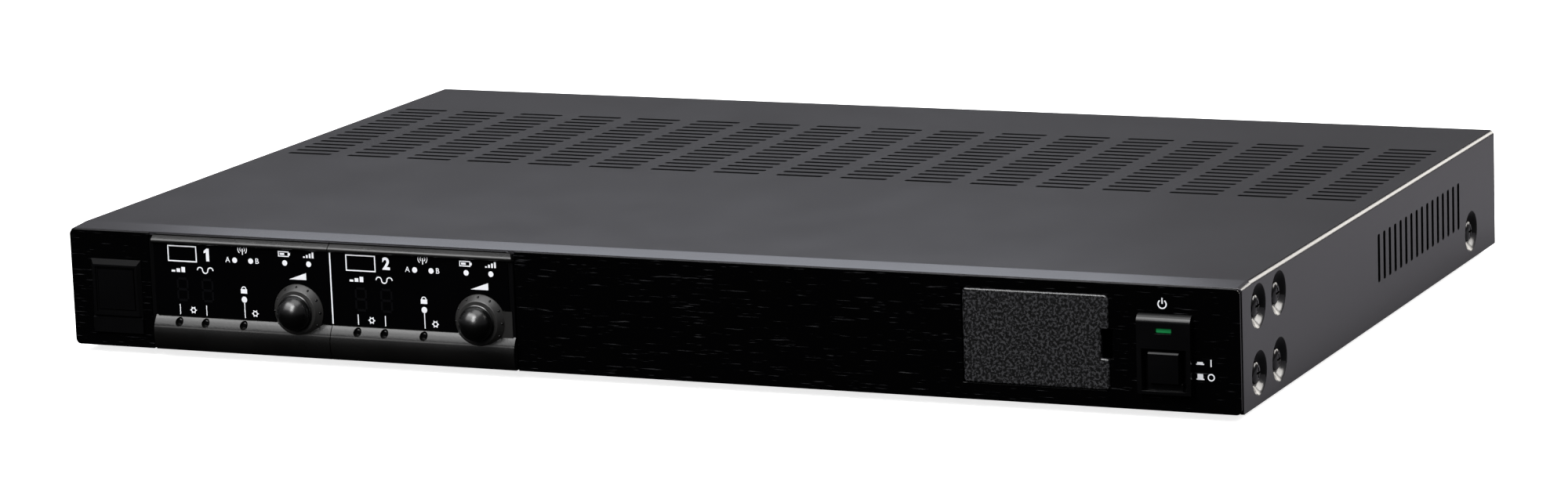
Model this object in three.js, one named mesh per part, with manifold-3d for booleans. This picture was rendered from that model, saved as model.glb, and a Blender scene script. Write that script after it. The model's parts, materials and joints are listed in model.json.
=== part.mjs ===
// Wireless receiver unit: a 1U steel cabinet, 420 mm wide, with two tuner modules in its front panel,
// a small access door, a push power switch, and its aerial, audio and mains sockets on the rear wall.
//
// Frame: millimetres, +Z up, the front panel faces -Y, +X is on the right seen from the front.
// The origin is the bottom centre of the whole unit, on the plane under its four rubber feet.

import * as THREE from 'three';
import { mergeVertices } from 'three/addons/utils/BufferGeometryUtils.js';
import Module from 'manifold-3d';

const wasm = await Module();
wasm.setup();

// ---- Driving dimensions ----

const WIDTH = 420;
const BODY_HEIGHT = 41;         // cabinet without its feet
const DEPTH = 278;              // face of the front panel to the rear edge of the cover
const FOOT_HEIGHT = 3;
const SHEET = 1.2;              // steel of the cover and the chassis
const GAP = 0.3;                // clearance between two pieces that touch
const BOARD = 1.6;              // circuit board thickness
const KNOB_REACH = 9.4;         // knob tip ahead of the front face
const SOCKET_REACH = 12;        // aerial sockets behind the cover's rear edge

const FACE_Y = -(DEPTH + SOCKET_REACH - KNOB_REACH) / 2;
const REAR_Y = FACE_Y + DEPTH;
const BASE_Z = FOOT_HEIGHT;
const TOP_Z = BASE_Z + BODY_HEIGHT;
const REACH = 1;                // how far a cutter runs past what it cuts

// Cover: the front strip of its top slopes down to the panel.
const BEND = 1.8;
const NOSE_LENGTH = 10;
const NOSE_DROP = 0.9;
const PANEL_LIP = 1;            // part of the panel that covers the cover's front edge
const COVER_Y = FACE_Y + PANEL_LIP + GAP;

// Vents: the rows of the top and the slots of the sides share one pitch.
const VENT_ROWS = 16;
const VENT_PITCH = 6.12;
const VENT_SLOT = 2.5;
const VENT_Y = FACE_Y + 141.5;  // first row
const VENT_GROUPS = 17;
const VENT_GROUP_PITCH = 24.2;
const VENT_GROUP_WIDTH = 17.4;
const SIDE_VENT_Z = [BASE_Z + 13.5, BASE_Z + 30];

// Screw pockets pressed into the cover's sides: [distance behind the face, height above the base].
const POCKETS = [[16.8, 31.5], [36.8, 31.5], [16.8, 10], [36.8, 10], [248.5, 10]];
const POCKET_RADIUS = 7;
const POCKET_FLOOR = 4.8;
const POCKET_DEPTH = 2.4;
const SCREW_RADIUS = 2;
const SCREW_HEAD = 3.6;

// Front panel.
const PANEL = 3;
const PANEL_TOP = BASE_Z + 40;
const PANEL_CORNER = 1.8;

// Tuner modules: the features of each are placed from its own left edge.
const MODULE_LEFT = [-177.7, -109.7];
const MODULE_SPAN = [[-178.7, -109.85], [-109.55, -41.2]];
const BAY = { x: [-176.5, -43.3], z: [BASE_Z + 4, BASE_Z + 36] };
const WINDOW_Z = [BASE_Z + 12.3, BASE_Z + 36.7];
const WINDOW_AHEAD = [0.2, 0.7];
const PLATE_AHEAD = [-0.7, -0.1];
const SILL_TOP = BASE_Z + 12;
const SILL_BOTTOM = BASE_Z + 0.3;
const SILL_AHEAD = 2.4;
const SILL_RADIUS = 11;
const LIP_AHEAD = 1.6;
const FRAME_DEPTH = 5;
const DIAL_X = 55.7;
const DIAL_Z = BASE_Z + 16;
const DIAL_RADIUS = 9.3;
const DIAL_AHEAD = 2.9;
const SHAFT_RADIUS = 3;
const KNOB_RADIUS = 6.2;
const SET_BUTTONS = [['group', 9.9], ['channel', 20], ['security', 34.7]];
const SET_BUTTON_Z = BASE_Z + 10.1;
const SET_BUTTON_RADIUS = 0.9;
const DISPLAY = { x: [7.8, 24.7], z: [BASE_Z + 16.2, BASE_Z + 26.2] };

// Blanked switch opening at the left.
const BLANK_X = -192;
const BLANK_WIDTH = 19.3;
const BLANK_Z = [BASE_Z + 11, BASE_Z + 30.3];
const BLANK_OPENING = [BASE_Z + 12, BASE_Z + 28];
const BLANK_HOLE = 15.6;
const BLANK_CAP = 13.8;
const BLANK_AHEAD = 1.4;
const LEDGE_Z = [BASE_Z + 5, BASE_Z + 10.4];

// Access door, hinged at its left edge.
const DOOR_X = [116.9, 166.4];
const DOOR_Z = [BASE_Z + 5.7, BASE_Z + 36.2];
const DOOR_AHEAD = 0.6;
const HINGE_ROUND = 1.5;
const HINGE = { x: DOOR_X[0] + HINGE_ROUND, y: FACE_Y - DOOR_AHEAD + HINGE_ROUND };
const HINGE_PIN = 0.4;
const HINGE_PIN_LENGTH = 1.2;
const NOTCH_Z = [BASE_Z + 15.7, BASE_Z + 25.2];
const NOTCH_WIDTH = 2.6;
const WELL_DEPTH = 24;

// Power switch.
const POWER_X = 185.3;
const POWER_WIDTH = 17.8;
const POWER_Z = [BASE_Z + 5.7, BASE_Z + 31.2];
const POWER_AHEAD = 3;
const RECESS_WIDTH = 14.8;
const RECESS_Z = [BASE_Z + 6.9, BASE_Z + 20.4];
const BUTTON_WIDTH = 10;
const BUTTON_Z = [BASE_Z + 9.6, BASE_Z + 19.4];
const BUTTON_AHEAD = 3.5;
const BUTTON_TRAVEL = 3;
const PLUNGER = 3;              // square rod behind the button, into the switch
const PLUNGER_Z = BASE_Z + 14.5;
const LENS_Z = BASE_Z + 26.2;

// Chassis.
const FLANGE_X = WIDTH / 2 - POCKET_DEPTH - SHEET - GAP;
const FLOOR_Z = BASE_Z + 0.2;
const WALL_Y = REAR_Y - 0.5;    // outer face of the rear wall
const BOARD_Z = BASE_Z + 8;
const SOCKET_Z = BASE_Z + 20;
const AERIAL_X = [-185, -145];
const TERMINAL_X = -80;
const JACK_X = [-25, 15];
const INLET_X = 160;
const FOOT_X = 178;
const FOOT_Y = [FACE_Y + 30, REAR_Y - 30];

// ---- Materials ----

function material(color, roughness, metalness = 0) {
  return new THREE.MeshStandardMaterial({ color, roughness, metalness });
}

const PAINT = material(0x3c3c40, 0.45, 0.3);
const PANEL_BLACK = material(0x0a0a0b, 0.3);
const WINDOW_BLACK = material(0x050506, 0.1);
const BEZEL_GREY = material(0x2c2c2e, 0.6);
const TRIM_BLACK = material(0x101012, 0.45);
const KNOB_BLACK = material(0x060606, 0.2);
const DOOR_GREY = material(0x303133, 0.75);
const GREEN = material(0x0c6b32, 0.3);
const STEEL = material(0x9a9a9c, 0.35, 0.9);
const SCREW_BLACK = material(0x151517, 0.35, 0.7);
const BRASS = material(0xb9a36a, 0.35, 0.9);
const CIRCUIT = material(0x14402a, 0.6);
const PLASTIC = material(0x1b1b1c, 0.55);
const RUBBER = material(0x121212, 0.9);

// ---- Solids ----

// Corners lie on a fine grid, so that faces meant to be flush are exactly flush.
const GRID = 1024;

function solid(geometry) {
  const bare = geometry.clone();
  bare.deleteAttribute('normal');
  bare.deleteAttribute('uv');
  const corners = bare.attributes.position.array;
  for (let i = 0; i < corners.length; i++) corners[i] = Math.round(corners[i] * GRID) / GRID;
  const merged = mergeVertices(bare, 1e-5);
  const index = merged.index.array;
  const triangles = [];
  for (let i = 0; i < index.length; i += 3) {
    const [a, b, c] = [index[i], index[i + 1], index[i + 2]];
    if (a !== b && b !== c && c !== a) triangles.push(a, b, c);
  }
  return new wasm.Manifold(new wasm.Mesh({
    numProp: 3,
    vertProperties: new Float32Array(merged.attributes.position.array),
    triVerts: new Uint32Array(triangles),
  }));
}

function block([x0, x1], [y0, y1], [z0, z1]) {
  const box = new THREE.BoxGeometry(x1 - x0, y1 - y0, z1 - z0);
  return solid(box.translate((x0 + x1) / 2, (y0 + y1) / 2, (z0 + z1) / 2));
}

// A block on the front panel, from `behind` to `ahead` of its face.
function frontBlock(x, [behind, ahead], z) {
  return block(x, [FACE_Y - ahead, FACE_Y - behind], z);
}

function around(centre, width) {
  return [centre - width / 2, centre + width / 2];
}

function grow([low, high], by) {
  return [low - by, high + by];
}

// Turned piece: [radius, distance] points about an axis through `at`; distance runs along `axis`.
function turned(points, axis, at, sides = 24) {
  const lathe = new THREE.LatheGeometry(points.map(([r, d]) => new THREE.Vector2(r, d)), sides);
  if (axis === 'z') lathe.rotateX(Math.PI / 2);
  if (axis === '+x') lathe.rotateZ(-Math.PI / 2);
  if (axis === '-x') lathe.rotateZ(Math.PI / 2);
  return solid(lathe.translate(...at));
}

function rod(radius, [from, to], axis, at, sides = 16) {
  return turned([[0, from], [radius, from], [radius, to], [0, to]], axis, at, sides);
}

// A section in X and Z, extruded along Y.
function alongY(shape, [y0, y1], curveSegments = 6) {
  const plate = new THREE.ExtrudeGeometry(shape, { depth: y1 - y0, bevelEnabled: false, curveSegments });
  return solid(plate.rotateX(Math.PI / 2).translate(0, y1, 0));
}

// A section in Y and Z, extruded along X.
function alongX(points, [x0, x1]) {
  const shape = new THREE.Shape(points.map(([y, z]) => new THREE.Vector2(y, z)));
  const bar = new THREE.ExtrudeGeometry(shape, { depth: x1 - x0, bevelEnabled: false });
  return solid(bar.rotateX(Math.PI / 2).rotateZ(Math.PI / 2).translate(x0, 0, 0));
}

// A section in X and Y, extruded along Z.
function alongZ(shape, [z0, z1]) {
  const bar = new THREE.ExtrudeGeometry(shape, { depth: z1 - z0, bevelEnabled: false, curveSegments: 8 });
  return solid(bar.translate(0, 0, z0));
}

function roundedShape([x0, x1], [z0, z1], radius) {
  const shape = new THREE.Shape();
  shape.moveTo(x0 + radius, z0);
  shape.lineTo(x1 - radius, z0);
  shape.absarc(x1 - radius, z0 + radius, radius, -Math.PI / 2, 0);
  shape.absarc(x1 - radius, z1 - radius, radius, 0, Math.PI / 2);
  shape.absarc(x0 + radius, z1 - radius, radius, Math.PI / 2, Math.PI);
  shape.absarc(x0 + radius, z0 + radius, radius, Math.PI, 1.5 * Math.PI);
  return shape;
}

function joined(pieces) {
  return pieces.reduce((whole, piece) => whole.add(piece));
}

function cut(body, pieces) {
  return pieces.reduce((whole, piece) => whole.subtract(piece), body);
}

const group = new THREE.Group();

function add(name, piece, look) {
  const mesh = piece.getMesh();
  const geometry = new THREE.BufferGeometry();
  geometry.setAttribute('position', new THREE.BufferAttribute(mesh.vertProperties, 3));
  geometry.setIndex(new THREE.BufferAttribute(mesh.triVerts, 1));
  geometry.computeVertexNormals();
  const part = new THREE.Mesh(geometry, look);
  part.name = name;
  group.add(part);
}

// ---- Cover and chassis ----

// The room under a folded sheet with its two top edges rounded.
function arch(inset, bottom) {
  const halfWidth = WIDTH / 2 - inset;
  const top = TOP_Z - inset;
  const radius = BEND - inset;
  const section = new THREE.Shape();
  section.moveTo(-halfWidth, bottom);
  section.lineTo(halfWidth, bottom);
  section.absarc(halfWidth - radius, top - radius, radius, 0, Math.PI / 2);
  section.absarc(-halfWidth + radius, top - radius, radius, Math.PI / 2, Math.PI);
  const room = alongY(section, inset ? [COVER_Y - REACH, REAR_Y + REACH] : [COVER_Y, REAR_Y]);
  const slope = NOSE_DROP / NOSE_LENGTH;
  const start = FACE_Y - REACH;
  const above = [
    [start, top - NOSE_DROP - slope * REACH],
    [FACE_Y + NOSE_LENGTH, top],
    [FACE_Y + NOSE_LENGTH, top + REACH],
    [start, top + REACH],
  ];
  return room.subtract(alongX(above, [-WIDTH, WIDTH]));
}

function ventSlots() {
  const slots = [];
  for (let row = 0; row < VENT_ROWS; row++) {
    const y = around(VENT_Y + row * VENT_PITCH, VENT_SLOT);
    for (let column = 0; column < VENT_GROUPS; column++) {
      const x = (column - (VENT_GROUPS - 1) / 2) * VENT_GROUP_PITCH;
      slots.push(block(around(x, VENT_GROUP_WIDTH), y, [TOP_Z - 2 * SHEET, TOP_Z + REACH]));
    }
    for (const side of [-1, 1]) {
      slots.push(block(around(side * WIDTH / 2, 4 * SHEET), y, SIDE_VENT_Z));
    }
  }
  return slots;
}

function topCover() {
  const sheet = arch(0, BASE_Z).subtract(arch(SHEET, BASE_Z - REACH));
  const bosses = [];
  const pockets = [];
  for (const [axis, side] of [['-x', -1], ['+x', 1]]) {
    for (const [behind, height] of POCKETS) {
      const at = [side * WIDTH / 2, FACE_Y + behind, BASE_Z + height];
      const floor = -POCKET_DEPTH;
      bosses.push(rod(POCKET_RADIUS + SHEET, [floor - SHEET, -SHEET / 2], axis, at, 14));
      const flare = (POCKET_RADIUS - POCKET_FLOOR) / POCKET_DEPTH;
      const mouth = POCKET_RADIUS + flare * REACH;
      pockets.push(turned([[0, floor], [POCKET_FLOOR, floor], [mouth, REACH], [0, REACH]], axis, at, 14));
      pockets.push(rod(SCREW_RADIUS + 1.5 * GAP, [floor - SHEET - REACH, REACH], axis, at, 8));
    }
  }
  return cut(joined([sheet, ...bosses]), [...pockets, ...ventSlots()]);
}

function sideScrew(axis, side, behind, height) {
  const seat = -POCKET_DEPTH + GAP;
  const crown = seat + 1.9;
  const profile = [
    [0, seat - 8], [SCREW_RADIUS, seat - 8], [SCREW_RADIUS, seat], [SCREW_HEAD, seat],
    [SCREW_HEAD, seat + 1], [SCREW_HEAD * 0.72, crown], [0, crown],
  ];
  return turned(profile, axis, [side * WIDTH / 2, FACE_Y + behind, BASE_Z + height], 10);
}

function boardPosts() {
  const posts = [];
  for (const [x, y] of BOARDS) {
    for (const px of grow(x, -5)) {
      for (const py of grow(y, -5)) {
        posts.push(rod(2.5, [FLOOR_Z, BOARD_Z - GAP], 'z', [px, py, 0], 6));
      }
    }
  }
  return posts;
}

function baseChassis() {
  const inner = WIDTH / 2 - SHEET - GAP;
  const front = FACE_Y + PANEL + GAP;
  const floor = block([-inner, inner], [front, WALL_Y], [FLOOR_Z, FLOOR_Z + SHEET]);
  const wall = block([-inner, inner], [WALL_Y - SHEET, WALL_Y], [FLOOR_Z, TOP_Z - SHEET - 2 * GAP]);
  const lip = block([-inner, inner], [front, front + SHEET], [FLOOR_Z, FLOOR_Z + 3]);
  const flanges = [-1, 1].map((side) => {
    const x = side > 0 ? [FLANGE_X - SHEET, FLANGE_X] : [-FLANGE_X, -FLANGE_X + SHEET];
    return block(x, [front, WALL_Y], [FLOOR_Z, BASE_Z + 38]);
  });
  const holes = [];
  for (const [axis, side] of [['-x', -1], ['+x', 1]]) {
    for (const [behind, height] of POCKETS) {
      const at = [side * FLANGE_X, FACE_Y + behind, BASE_Z + height];
      holes.push(rod(SCREW_RADIUS + 1.5 * GAP, [-SHEET - REACH, REACH], axis, at, 8));
    }
    for (const y of FOOT_Y) holes.push(rod(3, [0, BASE_Z + 3], 'z', [side * FOOT_X, y, 0], 8));
  }
  const through = [WALL_Y - SHEET - REACH, WALL_Y + REACH];
  for (const x of AERIAL_X) holes.push(rod(6.5, through, 'y', [x, 0, SOCKET_Z], 14));
  for (const x of JACK_X) holes.push(rod(6, through, 'y', [x, 0, SOCKET_Z], 14));
  holes.push(block(around(TERMINAL_X, 40 + 2 * GAP), through, around(SOCKET_Z, 11 + 2 * GAP)));
  holes.push(block(around(INLET_X, 27 + 2 * GAP), through, around(SOCKET_Z, 20 + 2 * GAP)));
  return cut(joined([floor, wall, lip, ...flanges, ...boardPosts()]), holes);
}

function foot(x, y) {
  const plug = BASE_Z + 3.4;
  const profile = [[0, 0], [7, 0], [8, 0.8], [8, 2.9], [2.5, 2.9], [2.5, plug], [0, plug]];
  return turned(profile, 'z', [x, y, 0], 12);
}

// ---- Front panel ----

function hingeSlots() {
  const pinRoom = around(HINGE.x, 2 * (HINGE_PIN + 1.2 * GAP));
  return DOOR_Z.map((z) => block(pinRoom, [FACE_Y + 0.2, FACE_Y + PANEL + REACH], around(z, 2 * 1.6)));
}

// The corners of the door's opening are square on the hinge side, where the leaf swings past them.
function frontPanel() {
  const face = roundedShape(around(0, WIDTH - 2 * GAP), [BASE_Z + 0.15, PANEL_TOP], PANEL_CORNER);
  const inner = WIDTH / 2 - SHEET - 2 * GAP;
  const plate = joined([
    alongY(face, [FACE_Y, FACE_Y + PANEL_LIP]),
    block([-inner, inner], [FACE_Y + PANEL_LIP, FACE_Y + PANEL], [BASE_Z + 1.8, BASE_Z + 38.5]),
  ]);
  const through = [-PANEL - REACH, REACH];
  const bayFace = [MODULE_SPAN[0][0] - GAP, MODULE_SPAN[1][1] + GAP];
  const door = roundedShape(grow(DOOR_X, GAP), grow(DOOR_Z, GAP), 1.8);
  const pocket = [DOOR_X[1] - REACH, DOOR_X[1] + 1.4];
  return cut(plate, [
    frontBlock(bayFace, [-PANEL_LIP, REACH], [BASE_Z - REACH, PANEL_TOP + REACH]),
    frontBlock(BAY.x, through, BAY.z),
    frontBlock(around(BLANK_X, 16), through, BLANK_OPENING),
    frontBlock(around(POWER_X, 15.3), through, [BASE_Z + 6.4, BASE_Z + 29]),
    alongY(door, [FACE_Y - REACH, FACE_Y + PANEL + REACH]),
    frontBlock([DOOR_X[0] - GAP, HINGE.x + HINGE_ROUND], through, grow(DOOR_Z, GAP)),
    frontBlock(pocket, [-1.6, REACH], NOTCH_Z),
    ...hingeSlots(),
  ]);
}

// ---- Tuner modules ----

// The sill under the window bulges forward as part of a circle.
function sillSection() {
  const middle = (SILL_TOP + SILL_BOTTOM) / 2;
  const lean = Math.asin((SILL_TOP - middle) / SILL_RADIUS);
  const back = FACE_Y - PLATE_AHEAD[0];
  const points = [[back, SILL_BOTTOM]];
  const steps = 10;
  for (let i = 0; i <= steps; i++) {
    const angle = -lean + (2 * lean * i) / steps;
    const ahead = SILL_AHEAD - SILL_RADIUS * (1 - Math.cos(angle));
    points.push([FACE_Y - ahead, middle + SILL_RADIUS * Math.sin(angle)]);
  }
  points.push([back, SILL_TOP]);
  return points.reverse();
}

function lipSection() {
  const back = FACE_Y - PLATE_AHEAD[0];
  return [
    [back, BASE_Z + 37], [back, BASE_Z + 39.9], [FACE_Y - 0.3, BASE_Z + 39.9], [FACE_Y - 1.1, BASE_Z + 39.1],
    [FACE_Y - LIP_AHEAD, BASE_Z + 38], [FACE_Y - LIP_AHEAD + 0.2, BASE_Z + 37],
  ];
}

function dial(x) {
  const bore = SHAFT_RADIUS + GAP;
  const [foot, plane, crest] = [PLATE_AHEAD[0], WINDOW_AHEAD[1], DIAL_AHEAD].map((ahead) => FACE_Y - ahead);
  const profile = [
    [bore, crest], [7.4, crest], [DIAL_RADIUS, plane], [DIAL_RADIUS, foot], [bore, foot], [bore, crest],
  ];
  return turned(profile, 'y', [x, 0, DIAL_Z], 26);
}

function moduleBezel(left, span, outerEnd) {
  const plate = frontBlock(span, PLATE_AHEAD, [SILL_BOTTOM, BASE_Z + 39.9]);
  const [bayLow, bayHigh] = grow(BAY.x, -GAP);
  const frameX = [Math.max(span[0], bayLow), Math.min(span[1], bayHigh)];
  const frameZ = grow(BAY.z, -GAP);
  const frame = frontBlock(frameX, [-FRAME_DEPTH, PLATE_AHEAD[0]], frameZ);
  const room = frontBlock(grow(frameX, -1.2), [-FRAME_DEPTH - REACH, PLATE_AHEAD[0]], grow(frameZ, -1.2));
  const rail = outerEnd < 0 ? [span[0], span[0] + 1.6] : [span[1] - 1.6, span[1]];
  const x = left + DIAL_X;
  const body = joined([
    plate, frame.subtract(room), alongX(sillSection(), span), alongX(lipSection(), span),
    frontBlock(rail, [PLATE_AHEAD[0], WINDOW_AHEAD[1]], [SILL_TOP - REACH, BASE_Z + 38]), dial(x),
  ]);
  const corner = 3;
  const past = 2 * corner;
  const outlineX = outerEnd < 0 ? [span[0], span[1] + past] : [span[0] - past, span[1]];
  const outline = roundedShape(outlineX, [SILL_BOTTOM - past, BASE_Z + 39.9], corner);
  const bore = [FACE_Y - DIAL_AHEAD - REACH, FACE_Y + FRAME_DEPTH];
  const holes = SET_BUTTONS.map(([, offset]) => rod(
    SET_BUTTON_RADIUS + GAP, [FACE_Y - SILL_AHEAD - REACH, FACE_Y + FRAME_DEPTH], 'y',
    [left + offset, 0, SET_BUTTON_Z], 10,
  ));
  return cut(body.intersect(alongY(outline, [FACE_Y - 5, FACE_Y + 2 * FRAME_DEPTH])), [
    rod(SHAFT_RADIUS + GAP, bore, 'y', [x, 0, DIAL_Z], 26),
    frontBlock(grow(DISPLAY.x.map((d) => left + d), GAP), [-FRAME_DEPTH, REACH], grow(DISPLAY.z, GAP)),
    ...holes,
  ]);
}

function moduleWindow(left, span, outerEnd) {
  const railRoom = 1.6 + GAP;
  const x = outerEnd < 0 ? [span[0] + railRoom, span[1]] : [span[0], span[1] - railRoom];
  const room = [FACE_Y - REACH, FACE_Y + REACH];
  return frontBlock(x, WINDOW_AHEAD, WINDOW_Z)
    .subtract(rod(DIAL_RADIUS + GAP, room, 'y', [left + DIAL_X, 0, DIAL_Z], 26));
}

function volumeKnob(left) {
  const base = FACE_Y - DIAL_AHEAD - GAP;
  const tip = FACE_Y - KNOB_REACH;
  const shoulder = tip + 3.6;
  const bore = SHAFT_RADIUS + GAP;
  const profile = [[0, base - 4], [bore, base - 4], [bore, base], [KNOB_RADIUS, base]];
  const steps = 4;
  for (let i = 0; i <= steps; i++) {
    const angle = (i / steps) * (Math.PI / 2);
    const dome = shoulder - (shoulder - tip) * Math.sin(angle);
    profile.push([(KNOB_RADIUS - 0.3) * Math.cos(angle), dome]);
  }
  return turned(profile.reverse(), 'y', [left + DIAL_X, 0, DIAL_Z], 22);
}

function setButton(x) {
  const [tip, collarFront, collarBack, end] = [0.9, -1.2, -3.4, -4.7].map((ahead) => FACE_Y - ahead);
  const profile = [
    [0, tip], [SET_BUTTON_RADIUS, tip], [SET_BUTTON_RADIUS, collarFront], [1.8, collarFront],
    [1.8, collarBack], [SET_BUTTON_RADIUS, collarBack], [SET_BUTTON_RADIUS, end], [0, end],
  ];
  return turned(profile, 'y', [x, 0, SET_BUTTON_Z], 8);
}

function volumePot(left) {
  const seat = FACE_Y + FRAME_DEPTH + 0.2;
  const mouth = FACE_Y + 1.2;
  const bore = SHAFT_RADIUS + GAP;
  const profile = [[0, seat - 0.6], [bore, seat - 0.6], [bore, mouth], [7, mouth], [7, seat], [0, seat]];
  return turned(profile, 'y', [left + DIAL_X, 0, DIAL_Z], 20);
}

// Folded steel can over the tuner circuits, open at the bottom.
function shieldCan(x, y) {
  const wall = 0.6;
  const [low, high] = [BOARD_Z + BOARD + GAP, BOARD_Z + BOARD + 12];
  return block(x, y, [low, high]).subtract(block(grow(x, -wall), grow(y, -wall), [low - REACH, high - wall]));
}

function addModule(number) {
  const left = MODULE_LEFT[number - 1];
  const span = MODULE_SPAN[number - 1];
  const outerEnd = number === 1 ? -1 : 1;
  const boardFront = FACE_Y + FRAME_DEPTH + 0.5;
  const dialAt = [left + DIAL_X, 0, DIAL_Z];
  add(`module_${number}_bezel`, moduleBezel(left, span, outerEnd), BEZEL_GREY);
  add(`module_${number}_window`, moduleWindow(left, span, outerEnd), WINDOW_BLACK);
  add(`module_${number}_display`,
    frontBlock(DISPLAY.x.map((d) => left + d), [-FRAME_DEPTH - 0.2, -0.2], DISPLAY.z), PLASTIC);
  add(`module_${number}_front_board`,
    block([left + 2, left + 66], [boardFront, boardFront + BOARD], [BASE_Z + 5, BASE_Z + 35]), CIRCUIT);
  add(`volume_pot_${number}`, volumePot(left), STEEL);
  const shaft = [FACE_Y - DIAL_AHEAD - 3.9, FACE_Y + FRAME_DEPTH - 0.8];
  add(`volume_shaft_${number}`, rod(SHAFT_RADIUS, shaft, 'y', dialAt, 20), STEEL);
  add(`volume_knob_${number}`, volumeKnob(left), KNOB_BLACK);
  for (const [name, offset] of SET_BUTTONS) {
    add(`${name}_button_${number}`, setButton(left + offset), TRIM_BLACK);
  }
  const [boardX, boardY] = TUNER_BOARDS[number - 1];
  add(`tuner_board_${number}`, block(boardX, boardY, [BOARD_Z, BOARD_Z + BOARD]), CIRCUIT);
  add(`tuner_shield_${number}`, shieldCan(grow(boardX, -9), grow(boardY, -12)), STEEL);
}

// ---- Blanked opening, access door and power switch ----

function blankBezel() {
  const [low, high] = around(BLANK_X, BLANK_WIDTH);
  const chamfer = 1.2;
  const back = FACE_Y - GAP;
  const front = FACE_Y - BLANK_AHEAD;
  const frame = alongX([
    [back, BLANK_Z[0]], [back, BLANK_Z[1]], [front, BLANK_Z[1] - 1.8], [front, BLANK_Z[0]],
  ], [low, high]);
  const flare = new THREE.Shape();
  flare.moveTo(low, back);
  flare.lineTo(low + chamfer, front);
  flare.lineTo(high - chamfer, front);
  flare.lineTo(high, back);
  const ledge = alongX([
    [back, LEDGE_Z[0]], [back, LEDGE_Z[1]], [FACE_Y - 1, LEDGE_Z[1] - 0.4], [FACE_Y - 1, LEDGE_Z[0]],
  ], [low, high]);
  const web = frontBlock([low, high], [GAP, 0.5], [LEDGE_Z[1] - REACH, BLANK_Z[0] + REACH]);
  const plug = frontBlock(around(BLANK_X, 16 - 2 * GAP), [-4.5, 2 * GAP], grow(BLANK_OPENING, -GAP));
  const centreZ = BASE_Z + 20;
  const bore = BLANK_CAP + 2 * GAP;
  const hole = frontBlock(around(BLANK_X, bore), [-6, 3], around(centreZ, bore));
  const mouth = frontBlock(around(BLANK_X, BLANK_HOLE), [0.9, 3], around(centreZ, BLANK_HOLE));
  const tapered = frame.intersect(alongZ(flare, grow(BLANK_Z, REACH)));
  return cut(joined([tapered, ledge, web, plug]), [hole, mouth]);
}

function blankCap() {
  const z = BASE_Z + 20;
  const cup = frontBlock(around(BLANK_X, BLANK_CAP), [-4.2, 1.1], around(z, BLANK_CAP));
  return cup.subtract(frontBlock(around(BLANK_X, BLANK_CAP - 3), [-5, -0.6], around(z, BLANK_CAP - 3)));
}

function accessDoor() {
  const section = new THREE.Shape();
  const front = HINGE.y - HINGE_ROUND;
  const back = front + 2;
  section.moveTo(HINGE.x, front);
  section.lineTo(DOOR_X[1], front);
  section.lineTo(DOOR_X[1], back);
  section.lineTo(HINGE.x + Math.sqrt(HINGE_ROUND ** 2 - (back - HINGE.y) ** 2), back);
  section.absarc(HINGE.x, HINGE.y, HINGE_ROUND, Math.asin((back - HINGE.y) / HINGE_ROUND), 1.5 * Math.PI);
  const outline = roundedShape(DOOR_X, DOOR_Z, 1.5);
  const leaf = alongZ(section, DOOR_Z).intersect(alongY(outline, [front - REACH, back + 5]));
  const pinZ = [DOOR_Z[0] - HINGE_PIN_LENGTH, DOOR_Z[1] + HINGE_PIN_LENGTH];
  const pin = rod(HINGE_PIN, pinZ, 'z', [HINGE.x, HINGE.y, 0], 10);
  const notch = block([DOOR_X[1] - NOTCH_WIDTH, DOOR_X[1] + REACH], [front - REACH, back + REACH], NOTCH_Z);
  return leaf.add(pin).subtract(notch);
}

function accessWell() {
  const front = FACE_Y + PANEL + GAP;
  const outer = block([113.5, 169.5], [front, front + WELL_DEPTH], [BASE_Z + 3.2, BASE_Z + 38.2]);
  const room = block([115, 168], [front - REACH, front + WELL_DEPTH - 1.5], [BASE_Z + 4.7, BASE_Z + 36.7]);
  return outer.subtract(room);
}

function settingSwitch() {
  const back = FACE_Y + PANEL + WELL_DEPTH - 1.5;
  const body = block([131, 152], [back - 6, back], [BASE_Z + 16, BASE_Z + 25]);
  const leverZ = [BASE_Z + 20, BASE_Z + 23];
  const levers = [0, 1, 2, 3].map((i) => block(around(134.5 + 4.7 * i, 2), [back - 7, back - 5], leverZ));
  return joined([body, ...levers]);
}

function powerBezel() {
  const [low, high] = around(POWER_X, POWER_WIDTH);
  const hood = alongX([
    [FACE_Y - GAP, POWER_Z[0]], [FACE_Y - GAP, POWER_Z[1]],
    [FACE_Y - POWER_AHEAD, POWER_Z[1] - 1.6], [FACE_Y - POWER_AHEAD, POWER_Z[0] + 0.2],
  ], [low, high]);
  const body = frontBlock(around(POWER_X, 15.3 - 2 * GAP), [-8, 1], [BASE_Z + 6.4 + GAP, BASE_Z + 29 - GAP]);
  const recess = frontBlock(around(POWER_X, RECESS_WIDTH - 1), [-1, 5], RECESS_Z);
  const ledgeZ = [RECESS_Z[0] - 0.1, BUTTON_Z[0] - GAP];
  const ledge = frontBlock(around(POWER_X, BUTTON_WIDTH + 1.4), [-1, 1.6], ledgeZ);
  return cut(joined([cut(hood.add(body), [recess]), ledge]), [
    frontBlock(around(POWER_X, BUTTON_WIDTH + 2 * GAP), [-10, 5], grow(BUTTON_Z, GAP)),
    frontBlock(around(POWER_X, 5.5), [-10, 5], around(LENS_Z, 1.8)),
  ]);
}

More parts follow.
